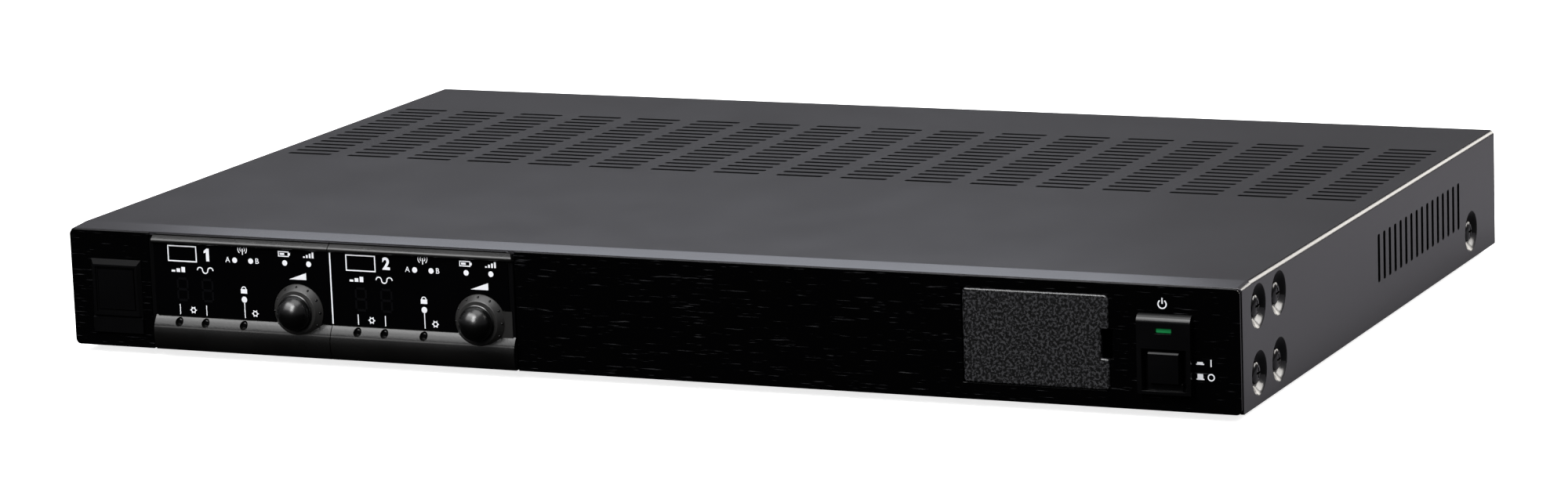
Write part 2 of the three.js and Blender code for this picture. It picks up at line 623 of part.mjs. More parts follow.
function powerButton() {
  const face = alongX([
    [FACE_Y - BUTTON_AHEAD, BUTTON_Z[0]], [FACE_Y + 12, BUTTON_Z[0]], [FACE_Y + 12, BUTTON_Z[1]],
    [FACE_Y - BUTTON_AHEAD + 0.6, BUTTON_Z[1]], [FACE_Y - BUTTON_AHEAD, BUTTON_Z[1] - 0.5],
  ].reverse(), around(POWER_X, BUTTON_WIDTH));
  return face.add(frontBlock(around(POWER_X, PLUNGER), [-18, -11], around(PLUNGER_Z, PLUNGER)));
}

function powerSwitch() {
  const front = -12 - BUTTON_TRAVEL - GAP;
  const body = frontBlock(around(POWER_X, 13), [front - 17, front], [BASE_Z + 5, BASE_Z + 22]);
  const bore = PLUNGER + 2 * GAP;
  const depth = [-18 - BUTTON_TRAVEL - REACH, 0];
  return body.subtract(frontBlock(around(POWER_X, bore), depth, around(PLUNGER_Z, bore)));
}

// ---- Rear sockets ----

function aerialSocket(x) {
  const outside = WALL_Y + GAP;
  const end = REAR_Y + SOCKET_REACH;
  const body = turned([
    [0, WALL_Y - 9], [5.8, WALL_Y - 9], [5.8, outside], [8, outside], [8, outside + 2.4],
    [4.85, outside + 2.4], [4.85, end], [4.1, end], [4.1, end - 5],
    [2.3, end - 5], [2.3, end - 1.5], [0, end - 1.5],
  ], 'y', [x, 0, SOCKET_Z], 14);
  return body.add(rod(1, [-5.6, -4.5], 'z', [x, end - 4, SOCKET_Z], 8))
    .add(rod(1, [4.5, 5.6], 'z', [x, end - 4, SOCKET_Z], 8));
}

function outputJack(x) {
  const outside = WALL_Y + GAP;
  const bore = 3.3;
  const sleeve = turned([
    [bore, WALL_Y - 12], [5.5, WALL_Y - 12], [5.5, outside], [8, outside], [8, outside + 2.6],
    [5.2, outside + 2.6], [5.2, outside + 4], [bore, outside + 4], [bore, WALL_Y - 12],
  ], 'y', [x, 0, SOCKET_Z], 14);
  const rear = block(around(x, 16), [WALL_Y - 24, WALL_Y - SHEET - GAP], around(SOCKET_Z, 16));
  const well = rod(bore, [WALL_Y - 22, WALL_Y + REACH], 'y', [x, 0, SOCKET_Z], 14);
  return rear.add(sleeve).subtract(well);
}

function terminalBlock() {
  const body = block(around(TERMINAL_X, 40), [WALL_Y - 12, WALL_Y + 7], around(SOCKET_Z, 11));
  const holes = [];
  for (let i = 0; i < 6; i++) {
    const x = TERMINAL_X + (i - 2.5) * 6.2;
    holes.push(block(around(x, 3.2), [WALL_Y, WALL_Y + 8], [SOCKET_Z - 3.8, SOCKET_Z - 0.8]));
    holes.push(rod(1.5, [WALL_Y + 4, WALL_Y + 8], 'y', [x, 0, SOCKET_Z + 2.4], 8));
  }
  return cut(body, holes);
}

function mainsInlet() {
  const outside = WALL_Y + GAP;
  const flange = block(around(INLET_X, 31), [outside, outside + 2], around(SOCKET_Z, 24));
  const body = block(around(INLET_X, 27), [WALL_Y - 18, outside + 1], around(SOCKET_Z, 20));
  const cup = block(around(INLET_X, 24), [WALL_Y - 15, WALL_Y + 3], around(SOCKET_Z, 16.5));
  const pins = [[-7, 1], [0, 4], [7, 1]].map(([dx, dz]) => (
    block(around(INLET_X + dx, 2), [WALL_Y - 16, WALL_Y - 1], around(SOCKET_Z + dz, 4))
  ));
  return joined([flange.add(body).subtract(cup), ...pins]);
}

// ---- Boards: [x span, y span] ----

const TUNER_BOARDS = MODULE_LEFT.map((left) => [[left + 4, left + 64], [FACE_Y + 12, FACE_Y + 112]]);
const MAIN_BOARD = [[-195, 60], [FACE_Y + 126, FACE_Y + 250]];
const SUPPLY_BOARD = [[75, 195], [FACE_Y + 110, FACE_Y + 250]];
const BOARDS = [...TUNER_BOARDS, MAIN_BOARD, SUPPLY_BOARD];

// ---- Assembly ----

add('top_cover', topCover(), PAINT);
add('base_chassis', baseChassis(), STEEL);
add('front_panel', frontPanel(), PANEL_BLACK);
for (const [i, x] of [-FOOT_X, FOOT_X].entries()) {
  for (const [j, y] of FOOT_Y.entries()) add(`foot_${2 * i + j + 1}`, foot(x, y), RUBBER);
}
for (const [axis, side, name] of [['-x', -1, 'left'], ['+x', 1, 'right']]) {
  for (const [i, [behind, height]] of POCKETS.entries()) {
    add(`screw_${name}_${i + 1}`, sideScrew(axis, side, behind, height), SCREW_BLACK);
  }
}
addModule(1);
addModule(2);
add('blank_bezel', blankBezel(), TRIM_BLACK);
add('blank_cap', blankCap(), TRIM_BLACK);
add('access_door', accessDoor(), DOOR_GREY);
add('access_well', accessWell(), PLASTIC);
add('setting_switch', settingSwitch(), STEEL);
add('power_bezel', powerBezel(), TRIM_BLACK);
add('power_lens', frontBlock(around(POWER_X, 4.9), [-8, 2.3], around(LENS_Z, 1.2)), GREEN);
add('power_button', powerButton(), TRIM_BLACK);
add('power_switch', powerSwitch(), PLASTIC);
add('main_board', block(...MAIN_BOARD, [BOARD_Z, BOARD_Z + BOARD]), CIRCUIT);
add('power_supply_board', block(...SUPPLY_BOARD, [BOARD_Z, BOARD_Z + BOARD]), CIRCUIT);
const coilZ = BOARD_Z + BOARD + GAP;
add('power_transformer', block([110, 155], [FACE_Y + 150, FACE_Y + 195], [coilZ, coilZ + 26]), STEEL);
for (const [i, x] of AERIAL_X.entries()) add(`aerial_socket_${'ab'[i]}`, aerialSocket(x), BRASS);
for (const [i, x] of JACK_X.entries()) add(`output_jack_${i + 1}`, outputJack(x), PLASTIC);
add('output_terminals', terminalBlock(), PLASTIC);
add('mains_inlet', mainsInlet(), PLASTIC);

export default group;
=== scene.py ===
"""Looks of the wireless receiver unit: finer pieces round the CAD frame, and their materials."""
import json
import math

import bmesh
import bpy
from mathutils import Matrix, Vector


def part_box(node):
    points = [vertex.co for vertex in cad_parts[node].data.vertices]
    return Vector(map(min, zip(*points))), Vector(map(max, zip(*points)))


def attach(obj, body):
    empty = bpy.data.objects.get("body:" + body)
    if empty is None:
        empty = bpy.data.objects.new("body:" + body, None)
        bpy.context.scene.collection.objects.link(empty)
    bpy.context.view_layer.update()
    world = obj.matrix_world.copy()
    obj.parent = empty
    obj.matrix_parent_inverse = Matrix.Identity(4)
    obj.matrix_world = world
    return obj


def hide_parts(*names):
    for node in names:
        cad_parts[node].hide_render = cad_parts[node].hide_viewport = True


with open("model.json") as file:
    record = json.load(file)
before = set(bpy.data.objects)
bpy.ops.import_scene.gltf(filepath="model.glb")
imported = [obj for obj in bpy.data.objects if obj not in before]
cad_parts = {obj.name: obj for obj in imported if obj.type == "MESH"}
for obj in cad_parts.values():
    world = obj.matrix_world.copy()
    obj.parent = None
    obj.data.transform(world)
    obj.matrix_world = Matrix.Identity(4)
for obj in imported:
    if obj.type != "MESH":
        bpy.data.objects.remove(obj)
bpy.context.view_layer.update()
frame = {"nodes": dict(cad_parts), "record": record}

MM = 0.001
GAP = 0.3


# ---- Places, in millimetres of the row frame ----

def box_mm(node):
    low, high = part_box(node)
    return low / MM, high / MM


COVER_LOW, COVER_HIGH = box_mm("top_cover")
FACE = box_mm("front_panel")[0].y
LEFT = COVER_LOW.x
RIGHT = COVER_HIGH.x
BASE = COVER_LOW.z
TOP = COVER_HIGH.z
REAR = COVER_HIGH.y
WALL = box_mm("base_chassis")[1].y
SHEET = 1.2


def show(obj):
    bpy.context.scene.collection.objects.link(obj)


# ---- Camera: first, because everything is judged through it ----

def add_camera():
    yaw, pitch, roll = math.radians(24.01), math.radians(11.34), math.radians(-2.09)
    distance, lens = 1.893, 123.64
    target = Vector((-0.0107, 0.0097, 0.0162))
    forward = Vector((-math.sin(yaw) * math.cos(pitch), math.cos(yaw) * math.cos(pitch), -math.sin(pitch)))
    right = Vector((math.cos(yaw), math.sin(yaw), 0))
    up = right.cross(forward)
    tilted_right = math.cos(roll) * right + math.sin(roll) * up
    tilted_up = -math.sin(roll) * right + math.cos(roll) * up
    data = bpy.data.cameras.new("camera")
    data.lens = lens
    data.sensor_width = 36
    data.clip_end = 50
    camera = bpy.data.objects.new("camera", data)
    axes = Matrix((tilted_right, tilted_up, -forward)).transposed().to_4x4()
    camera.matrix_world = Matrix.Translation(target - forward * distance) @ axes
    show(camera)
    bpy.context.scene.camera = camera


# ---- Materials ----

class Nodes:
    """A short way to build one material's node tree."""

    def __init__(self, name):
        self.material = bpy.data.materials.new(name)
        self.material.use_nodes = True
        self.tree = self.material.node_tree
        self.shader = self.tree.nodes["Principled BSDF"]
        self.place = self.new("ShaderNodeTexCoord").outputs["Object"]

    def new(self, kind, **values):
        node = self.tree.nodes.new(kind)
        for key, value in values.items():
            setattr(node, key, value)
        return node

    def link(self, source, target):
        self.tree.links.new(source, target)

    def fixed(self, **values):
        for key, value in values.items():
            self.shader.inputs[key.replace("_", " ")].default_value = value

    def mapped(self, scale):
        mapping = self.new("ShaderNodeMapping")
        mapping.inputs["Scale"].default_value = scale
        self.link(self.place, mapping.inputs["Vector"])
        return mapping.outputs["Vector"]

    def noise(self, scale, detail=3.0, stretch=None, roughness=0.55):
        node = self.new("ShaderNodeTexNoise")
        node.inputs["Scale"].default_value = scale
        node.inputs["Detail"].default_value = detail
        node.inputs["Roughness"].default_value = roughness
        self.link(self.mapped(stretch) if stretch else self.place, node.inputs["Vector"])
        return node.outputs["Fac"]

    def ramp(self, source, stops):
        node = self.new("ShaderNodeValToRGB")
        ramp = node.color_ramp
        while len(ramp.elements) < len(stops):
            ramp.elements.new(0.5)
        for element, (position, color) in zip(ramp.elements, stops):
            element.position = position
            element.color = (*color, 1) if hasattr(color, "__len__") else (color, color, color, 1)
        self.link(source, node.inputs["Fac"])
        return node.outputs["Color"]

    def bump(self, height, strength, distance):
        node = self.new("ShaderNodeBump")
        node.inputs["Strength"].default_value = strength
        node.inputs["Distance"].default_value = distance
        self.link(height, node.inputs["Height"])
        return node.outputs["Normal"]

    def shade(self, color=None, roughness=None, normal=None):
        for key, source in (("Base Color", color), ("Roughness", roughness), ("Normal", normal)):
            if source is not None:
                self.link(source, self.shader.inputs[key])
        return self.material


def around(color, spread):
    return [tuple(c * (1 - spread) for c in color), tuple(c * (1 + spread) for c in color)]


def grained(name, color, rough, grain, depth, spread=0.12, rough_spread=0.05, strength=0.4, shine=0.5, **fixed):
    """Moulded, painted or cast surface: fine grain, with slow changes of colour and gloss."""
    n = Nodes(name)
    fine = n.noise(grain, 4)
    slow = n.noise(35, 3)
    dark, light = around(color, spread)
    n.fixed(Specular_IOR_Level=shine, **fixed)
    return n.shade(
        n.ramp(slow, [(0.3, dark), (0.7, light)]),
        n.ramp(slow, [(0.3, rough - rough_spread), (0.7, rough + rough_spread)]),
        n.bump(fine, strength, depth),
    )


def speckled(name, dark, light, grain, depth):
    """Coarse cast texture: bright and dark grains side by side."""
    n = Nodes(name)
    grains = n.noise(grain, 2, roughness=0.7)
    n.fixed(Specular_IOR_Level=0.8)
    return n.shade(
        n.ramp(grains, [(0.48, dark), (0.58, light)]),
        n.ramp(grains, [(0.3, 0.34), (0.7, 0.25)]),
        n.bump(grains, 0.8, depth),
    )


def panel_paint():
    """Black panel with fine horizontal hairlines, most of them too faint to see."""
    n = Nodes("panel_paint")
    hairs = n.noise(1.0, 2, stretch=(110, 110, 2600))
    streaks = n.ramp(hairs, [(0.63, 0.0), (0.73, 1.0)])
    color = n.ramp(hairs, [(0.66, (0.0006, 0.0006, 0.0007)), (0.76, (0.028, 0.028, 0.03))])
    n.fixed(Specular_IOR_Level=0.25)
    return n.shade(color, n.ramp(hairs, [(0.62, 0.1), (0.8, 0.3)]), n.bump(streaks, 0.2, 0.00003))


def metal(name, color, rough, stretch=(1, 1, 1), grain=900):
    n = Nodes(name)
    lines = n.noise(grain, 3, stretch=stretch)
    slow = n.noise(60, 3)
    n.fixed(Metallic=1.0)
    dark, light = around(color, 0.12)
    return n.shade(
        n.ramp(slow, [(0.3, dark), (0.7, light)]),
        n.ramp(lines, [(0.3, rough - 0.07), (0.7, rough + 0.07)]),
        n.bump(lines, 0.2, 0.000004),
    )


def circuit_material():
    """Green solder mask with lighter tracks."""
    n = Nodes("circuit")
    tracks = n.new("ShaderNodeTexBrick")
    tracks.inputs["Scale"].default_value = 260
    tracks.inputs["Mortar Size"].default_value = 0.03
    tracks.inputs["Color1"].default_value = (0.012, 0.07, 0.03, 1)
    tracks.inputs["Color2"].default_value = (0.014, 0.085, 0.035, 1)
    tracks.inputs["Mortar"].default_value = (0.03, 0.16, 0.07, 1)
    n.link(n.place, tracks.inputs["Vector"])
    return n.shade(tracks.outputs["Color"], n.ramp(n.noise(80), [(0.3, 0.3), (0.7, 0.5)]),
                   n.bump(tracks.outputs["Fac"], 0.3, 0.00003))


def make_materials():
    charcoal = (0.018, 0.0175, 0.020)
    return {
        "paint": grained("paint", charcoal, 0.22, 300, 0.000003, 0.05, 0.015, 0.2, shine=0.8),
        "chassis_steel": grained("chassis_steel", (0.03, 0.03, 0.033), 0.4, 2400, 0.00003, 0.08),
        "panel_black": panel_paint(),
        "window_black": grained("window_black", (0.0008, 0.0008, 0.001), 0.06, 300, 0.00001, 0.2, 0.02, 0.1,
                                shine=0.3),
        "bezel_grey": grained("bezel_grey", (0.003, 0.0029, 0.0028), 0.27, 1000, 0.00004, 0.3, 0.03, 0.9,
                              shine=0.55),
        "dial_grey": grained("dial_grey", (0.016, 0.0155, 0.015), 0.4, 1300, 0.00003, 0.3, 0.05, 0.9,
                             shine=0.6),
        "trim_black": grained("trim_black", (0.0016, 0.0016, 0.0018), 0.2, 1200, 0.00001, 0.2, 0.03, 0.4,
                              shine=0.4),
        # painted shade: a near-black material laid on the vent slots' walls, the cover's front edge and the
        # pockets' floors and downward-facing walls
        "painted_shade_black": grained("painted_shade_black", (0.004, 0.004, 0.0045), 0.45, 900, 0.00001, 0.2, 0.05, 0.3,
                            shine=0.1),
        "trim_matte": grained("trim_matte", (0.002, 0.002, 0.0022), 0.3, 1200, 0.00001, 0.2, 0.03, 0.4,
                              shine=0.05),
        "knob_black": grained("knob_black", (0.001, 0.001, 0.001), 0.27, 700, 0.000004, 0.2, 0.02, 0.15,
                              shine=0.75),
        "door_grey": speckled("door_grey", (0.0005, 0.0005, 0.0006), (0.042, 0.042, 0.045), 1100, 0.00012),
        "green_lens": grained("green_lens", (0.01, 0.16, 0.05), 0.2, 1500, 0.00002, 0.3, 0.05, 0.2,
                              Emission_Color=(0.02, 0.5, 0.12, 1), Emission_Strength=0.07),
        "plain_steel": metal("plain_steel", (0.55, 0.55, 0.56), 0.32, (1, 1, 12)),
        "screw_black": grained("screw_black", (0.003, 0.003, 0.0035), 0.2, 900, 0.00001),
        "brass": metal("brass", (0.66, 0.62, 0.52), 0.25, (1, 20, 1)),
        "circuit": circuit_material(),
        "plastic": grained("plastic", (0.011, 0.011, 0.012), 0.45, 1600, 0.00005),
        "rubber": grained("rubber", (0.012, 0.012, 0.012), 0.75, 1500, 0.0001),
        "unlit": grained("unlit", (0.0025, 0.0025, 0.003), 0.3, 1500, 0.00001, shine=0.1),
        "white_plastic": grained("white_plastic", (0.65, 0.64, 0.6), 0.4, 1500, 0.00002),
        "ink": grained("ink", (0.84, 0.85, 0.88), 0.5, 2500, 0.00001, 0.05),
    }


MATERIALS = {}


# ---- Mesh tools: every size is in millimetres ----

AXES = {"x": Vector((1, 0, 0)), "-x": Vector((-1, 0, 0)), "y": Vector((0, 1, 0)), "z": Vector((0, 0, 1))}
MERGE_WITHIN = 0.001
SHARP_ANGLE = math.radians(35)


def finished(name, mesh, material):
    """Object made of a mesh given in millimetres, with one material."""
    mesh.transform(Matrix.Scale(MM, 4))
    mesh.materials.clear()
    mesh.materials.append(material)
    obj = bpy.data.objects.new(name, mesh)
    show(obj)
    return obj


def piece(name, mesh, look, body="root", replaces=()):
    """Shows a mesh given in millimetres, as a piece of the object that rides on a body."""
    obj = finished(name, mesh, MATERIALS[look])
    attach(obj, body)
    if replaces:
        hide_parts(*replaces)
    return obj


def as_mesh(bm):
    bmesh.ops.recalc_face_normals(bm, faces=bm.faces)
    mesh = bpy.data.meshes.new("shape")
    bm.to_mesh(mesh)
    bm.free()
    return mesh


def block(low, high):
    bm = bmesh.new()
    bmesh.ops.create_cube(bm, size=1)
    low, high = Vector(low), Vector(high)
    for vertex in bm.verts:
        vertex.co = Vector([a + (b - a) * (t + 0.5) for a, b, t in zip(low, high, vertex.co)])
    return as_mesh(bm)


def prism(points, axis, low, high):
    """A flat outline pushed along an axis: points are (y, z) for X, (x, z) for Y and (x, y) for Z."""
    place = {
        "x": lambda a, b, t: (t, a, b),
        "y": lambda a, b, t: (a, t, b),
        "z": lambda a, b, t: (a, b, t),
    }[axis]
    bm = bmesh.new()
    ends = [[bm.verts.new(place(a, b, t)) for a, b in points] for t in (low, high)]
    count = len(points)
    for end in ends:
        bm.faces.new(end)
    for i in range(count):
        j = (i + 1) % count
        bm.faces.new((ends[0][i], ends[0][j], ends[1][j], ends[1][i]))
    return as_mesh(bm)


def sweep(start, end, steps):
    """Cosine and sine at even steps from one angle to another, in degrees."""
    angles = [math.radians(start + (end - start) * i / steps) for i in range(steps + 1)]
    return [(math.cos(angle), math.sin(angle)) for angle in angles]


def rounded(x, z, radius, steps=8):
    """Outline of a rectangle with round corners."""
    centres = ((x[1] - radius, z[0] + radius, -90), (x[1] - radius, z[1] - radius, 0),
               (x[0] + radius, z[1] - radius, 90), (x[0] + radius, z[0] + radius, 180))
    points = []
    for cx, cz, start in centres:
        points += [(cx + radius * c, cz + radius * s) for c, s in sweep(start, start + 90, steps)]
    return points


def turned(profile, axis, at, sides=64):
    """Turned shape. The profile is (radius, distance) points, and distance runs along the axis from `at`."""
    along = AXES[axis]
    side = AXES["x"] if axis == "z" else AXES["z"]
    other = along.cross(side)
    at = Vector(at)
    bm = bmesh.new()
    rings = []
    for radius, distance in profile:
        centre = at + along * distance
        if radius < 1e-6:
            rings.append([bm.verts.new(centre)])
            continue
        ring = []
        for i in range(sides):
            angle = 2 * math.pi * i / sides
            ring.append(bm.verts.new(centre + radius * (math.cos(angle) * side + math.sin(angle) * other)))
        rings.append(ring)
    for a, b in zip(rings, rings[1:]):
        for i in range(sides):
            j = (i + 1) % sides
            corners = [a[i % len(a)], a[j % len(a)], b[j % len(b)], b[i % len(b)]]
            unique = list(dict.fromkeys(corners))
            if len(unique) > 2:
                bm.faces.new(unique)
    for ring in (rings[0], rings[-1]):
        if len(ring) > 1 and profile[0] != profile[-1]:
            bm.faces.new(ring)
    bmesh.ops.remove_doubles(bm, verts=bm.verts, dist=1e-5)
    return as_mesh(bm)


def rod(radius, ends, axis, at, sides=48):
    return turned([(0, ends[0]), (radius, ends[0]), (radius, ends[1]), (0, ends[1])], axis, at, sides)


def merged(meshes):
    bm = bmesh.new()
    for mesh in meshes:
        bm.from_mesh(mesh)
        bpy.data.meshes.remove(mesh)
    mesh = bpy.data.meshes.new("shape")
    bm.to_mesh(mesh)
    bm.free()
    return mesh


def without_slivers(mesh):
    """Merges the almost coincident points that a boolean or a letter's outline leaves behind."""
    bm = bmesh.new()
    bm.from_mesh(mesh)
    bmesh.ops.remove_doubles(bm, verts=bm.verts, dist=MERGE_WITHIN)
    bmesh.ops.dissolve_degenerate(bm, dist=MERGE_WITHIN, edges=bm.edges)
    bm.to_mesh(mesh)
    bm.free()
    return mesh


def combined(mesh, others, operation):
    """Exact boolean of a mesh with each of the others, which may be many solids that don't touch."""
    body = bpy.data.objects.new("body", mesh)
    tool = bpy.data.objects.new("tool", merged(others))
    show(body)
    show(tool)
    modifier = body.modifiers.new("boolean", "BOOLEAN")
    modifier.operation = operation
    modifier.solver = "EXACT"
    modifier.object = tool
    result = bpy.data.meshes.new_from_object(body.evaluated_get(bpy.context.evaluated_depsgraph_get()))
    for obj in (body, tool):
        data = obj.data
        bpy.data.objects.remove(obj)
        bpy.data.meshes.remove(data)
    return without_slivers(result)


def cut(mesh, others):
    return combined(mesh, others, "DIFFERENCE")


def join(mesh, others):
    for other in others:
        mesh = combined(mesh, [other], "UNION")
    return mesh


def soften(obj, width, segments=2, clamp=True):
    """Rounds the sharp edges of a piece by a width, which may be nothing, and keeps its flat faces flat."""
    for polygon in obj.data.polygons:
        polygon.use_smooth = True
    if width:
        bevel = obj.modifiers.new("round_edges", "BEVEL")
        bevel.width = width * MM
        bevel.segments = segments
        bevel.limit_method = "ANGLE"
        bevel.angle_limit = SHARP_ANGLE
        bevel.use_clamp_overlap = clamp
    normals = obj.modifiers.new("flat_faces", "WEIGHTED_NORMAL")
    normals.keep_sharp = True
    obj.data.set_sharp_from_angle(angle=SHARP_ANGLE)
    return obj


def dress_cad(node, look, bevel=0.0):
    """A CAD node whose shape is right gets its material; when it has a bevel, its faces are also tidied by
    modifiers.
    """
    obj = frame["nodes"][node]
    obj.data.materials.clear()
    obj.data.materials.append(MATERIALS[look])
    if bevel:
        flat = obj.modifiers.new("flat_faces_only", "DECIMATE")
        flat.decimate_type = "DISSOLVE"
        flat.angle_limit = math.radians(0.5)
        soften(obj, bevel)


# ---- Cover ----

BEND = 1.8
NOSE_LENGTH = 10
NOSE_DROP = 0.9
VENT_PITCH = 6.12
VENT_ROWS = 16
VENT_SLOT = 2.5
VENT_Y = FACE + 141.5
VENT_GROUPS = 17
VENT_GROUP_PITCH = 24.2
VENT_GROUP_WIDTH = 17.4
SIDE_VENT = (BASE + 13.5, BASE + 30)
VENT_CORNER = 0.9
# each pocket's distance behind the panel's face and height above the base
POCKETS = ((16.8, 31.5), (36.8, 31.5), (16.8, 10), (36.8, 10), (248.5, 10))
POCKET_DEPTH = 2.4


def arch_points(inset, drop):
    """One side of the folded sheet's section, from the left edge over the top to the right edge."""
    half, top, radius = RIGHT - inset, TOP - inset, BEND - inset
    squash = (radius - min(drop, radius * 0.6)) / radius
    points = [(-half, BASE)]
    for corner, start in ((-1, 180), (1, 90)):
        for c, s in sweep(start, start - 90, 10):
            points.append((corner * (half - radius) + radius * c, top - drop - radius * squash * (1 - s)))
    points.append((half, BASE))
    return points


def cover_shell():
    front = COVER_LOW.y
    slope = NOSE_DROP / NOSE_LENGTH
    bend, blend, round_edge = FACE + NOSE_LENGTH, 0.35, 0.25
    stations = ((front, round_edge), (front + 0.07, 0.07), (front + round_edge, 0), (bend - blend, 0),
                (bend + blend, 0), (REAR, 0))
    bm = bmesh.new()
    rings = []
    for y, inset in stations:
        drop = max(0, slope * (bend - y))
        outline = arch_points(inset, drop) + arch_points(SHEET, drop)[::-1]
        rings.append([bm.verts.new((x, y, z)) for x, z in outline])
    count = len(rings[0])
    for a, b in zip(rings, rings[1:]):
        for i in range(count):
            j = (i + 1) % count
            bm.faces.new((a[i], a[j], b[j], b[i]))
    bm.faces.new(rings[0])
    bm.faces.new(rings[-1])
    return as_mesh(bm)


def pocket_at(side, behind, height):
    return (RIGHT if side > 0 else LEFT), FACE + behind, BASE + height


def pocket_boss():
    """Profile of the metal pushed in behind a pocket."""
    foot, root = -POCKET_DEPTH - SHEET, -SHEET / 2
    return [(0, foot), (5.2, foot), (8.2, root), (0, root)]


def pocket_bowl():
    """Profile of the pressed pocket: a flat floor, a sloping wall and a rolled mouth."""
    floor = [(0, -POCKET_DEPTH), (3.6, -POCKET_DEPTH)]
    wall = [(4.0, -2.36), (4.5, -2.16), (5.1, -1.74), (5.7, -1.2), (6.3, -0.66)]
    mouth = [(6.8, -0.28), (7.2, -0.06), (7.5, 0.03), (8.5, 0.2), (0, 0.2)]
    return floor + wall + mouth


def vent_cutters():
    """Rows of slots from front to back: groups side by side on top, and one slot in each side."""
    cutters = []
    for row in range(VENT_ROWS):
        y = VENT_Y + row * VENT_PITCH
        span = (y - VENT_SLOT / 2, y + VENT_SLOT / 2)
        for column in range(VENT_GROUPS):
            x = (column - (VENT_GROUPS - 1) / 2) * VENT_GROUP_PITCH
            outline = rounded((x - VENT_GROUP_WIDTH / 2, x + VENT_GROUP_WIDTH / 2), span, VENT_CORNER, 4)
            cutters.append(prism(outline, "z", TOP - 2 * SHEET, TOP + 1))
        for x in (LEFT, RIGHT):
            cutters.append(prism(rounded(span, SIDE_VENT, VENT_CORNER, 4), "x", x - 1.6, x + 1.6))
    return cutters


def make_cover():
    shell = cover_shell()
    bosses, bowls, holes = [], [], []
    for axis, side in (("-x", -1), ("x", 1)):
        for behind, height in POCKETS:
            at = pocket_at(side, behind, height)
            bosses.append(turned(pocket_boss(), axis, at))
            bowls.append(turned(pocket_bowl(), axis, at, 64))
            holes.append(rod(2.3, (-POCKET_DEPTH - 3, -1), axis, at, 32))
    shell = join(shell, [merged(bosses)])
    for cutters in (bowls, holes, vent_cutters()):
        shell = cut(shell, cutters)
    cover = piece("cover_shell", shell, "paint", replaces=("top_cover",))
    paint_shade_in_cuts(cover)
    soften(cover, 0)


def paint_shade_in_cuts(cover):
    """Painted shade: the sheet's punched slot walls, its cut front edge, and the floor and downward-facing
    walls of each pocket get a near-black material that stands in for the shade there.
    """
    cover.data.materials.append(MATERIALS["painted_shade_black"])
    vents = (VENT_Y - VENT_PITCH, VENT_Y + VENT_ROWS * VENT_PITCH)
    for polygon in cover.data.polygons:
        place, normal = polygon.center / MM, polygon.normal
        level = abs(normal.z) < 0.5 and TOP - SHEET < place.z < TOP and abs(place.x) < RIGHT - 2 * SHEET
        upright = abs(normal.x) < 0.5 and RIGHT - SHEET < abs(place.x) < RIGHT
        slot_shade = vents[0] < place.y < vents[1] and (level or upright)
        front_edge = normal.y < -0.9 and place.y < FACE + SHEET
        sunk = RIGHT - POCKET_DEPTH - 0.1 < abs(place.x) < RIGHT - 0.1 and abs(normal.x) > 0.3
        # painted shade: pocket floor and walls that face sideways or down, picked by their normal
        pocket_shade = sunk and normal.z < 0.2 and place.z < TOP - 2 * SHEET
        if slot_shade or front_edge or pocket_shade:
            polygon.material_index = 1


def make_screw(name, axis, at, replaces):
    """Pan-head screw with a cross recess, sunk in its pocket."""
    seat = -POCKET_DEPTH + GAP
    shank, radius, rim, dome = 2, 3.6, 0.55, 1.35
    head = [(0, seat - 8), (shank, seat - 8), (shank, seat), (radius, seat), (radius, seat + rim)]
    head += [(radius * c, seat + rim + dome * s) for c, s in sweep(0, 90, 8)]
    mesh = turned(head, axis, at, 48)
    sign = -1 if axis == "-x" else 1
    crown = at[0] + sign * (seat + rim + dome)
    depth = sorted((crown - sign * 1.1, crown + sign * 0.5))
    wide, narrow = 1.75, 0.4
    for dy, dz in ((wide, narrow), (narrow, wide)):
        arm = block((depth[0], at[1] - dy, at[2] - dz), (depth[1], at[1] + dy, at[2] + dz))
        mesh = cut(mesh, [arm])
    soften(piece(name, mesh, "screw_black", replaces=replaces), 0.08)


def make_screws():
    for axis, side, word in (("-x", -1, "left"), ("x", 1, "right")):
        for i, (behind, height) in enumerate(POCKETS):
            at = pocket_at(side, behind, height)
            make_screw(f"{word}_screw_{i + 1}", axis, at, (f"screw_{word}_{i + 1}",))


# ---- Front panel parts: "ahead" is in front of the panel's face ----

PANEL_CORNER = 1.8
NOTCH = (15.7, 25.2)
HINGE_ROLL = 1.5
PIN_RADIUS = 0.4
PIN_LENGTH = 1.2
PIN_ROOM = 0.36
MODULE_SHIFT = 68.0
BEZEL_FACE = -0.1
BEZEL_BACK = -0.7
SLEEVE_BACK = -5
WINDOW_AHEAD = 0.7
SILL_TOP = 12
SILL_BOTTOM = 0.3
LIP_BOTTOM = 37
LIP_TOP = 39.4
DIAL_U = 88.0
DIAL_H = 16
DIAL_RADIUS = 9.3
DIAL_AHEAD = 2.9
DIAL_BORE = 3.3
DOT_COUNT = 11
DOT_CIRCLE = 8.45
SET_HOLES = ((42.2, "group"), (52.3, "channel"), (67.0, "security"))
SET_H = 10.1
CUT_AHEAD = 4


def ahead(distance):
    """Y of a point in front of the panel's face."""
    return FACE - distance


def slab(u, depth, h):
    """A block on the front: u from the left side, depth (behind, ahead) of the face, h above the base."""
    return block((LEFT + u[0], ahead(depth[1]), BASE + h[0]), (LEFT + u[1], ahead(depth[0]), BASE + h[1]))


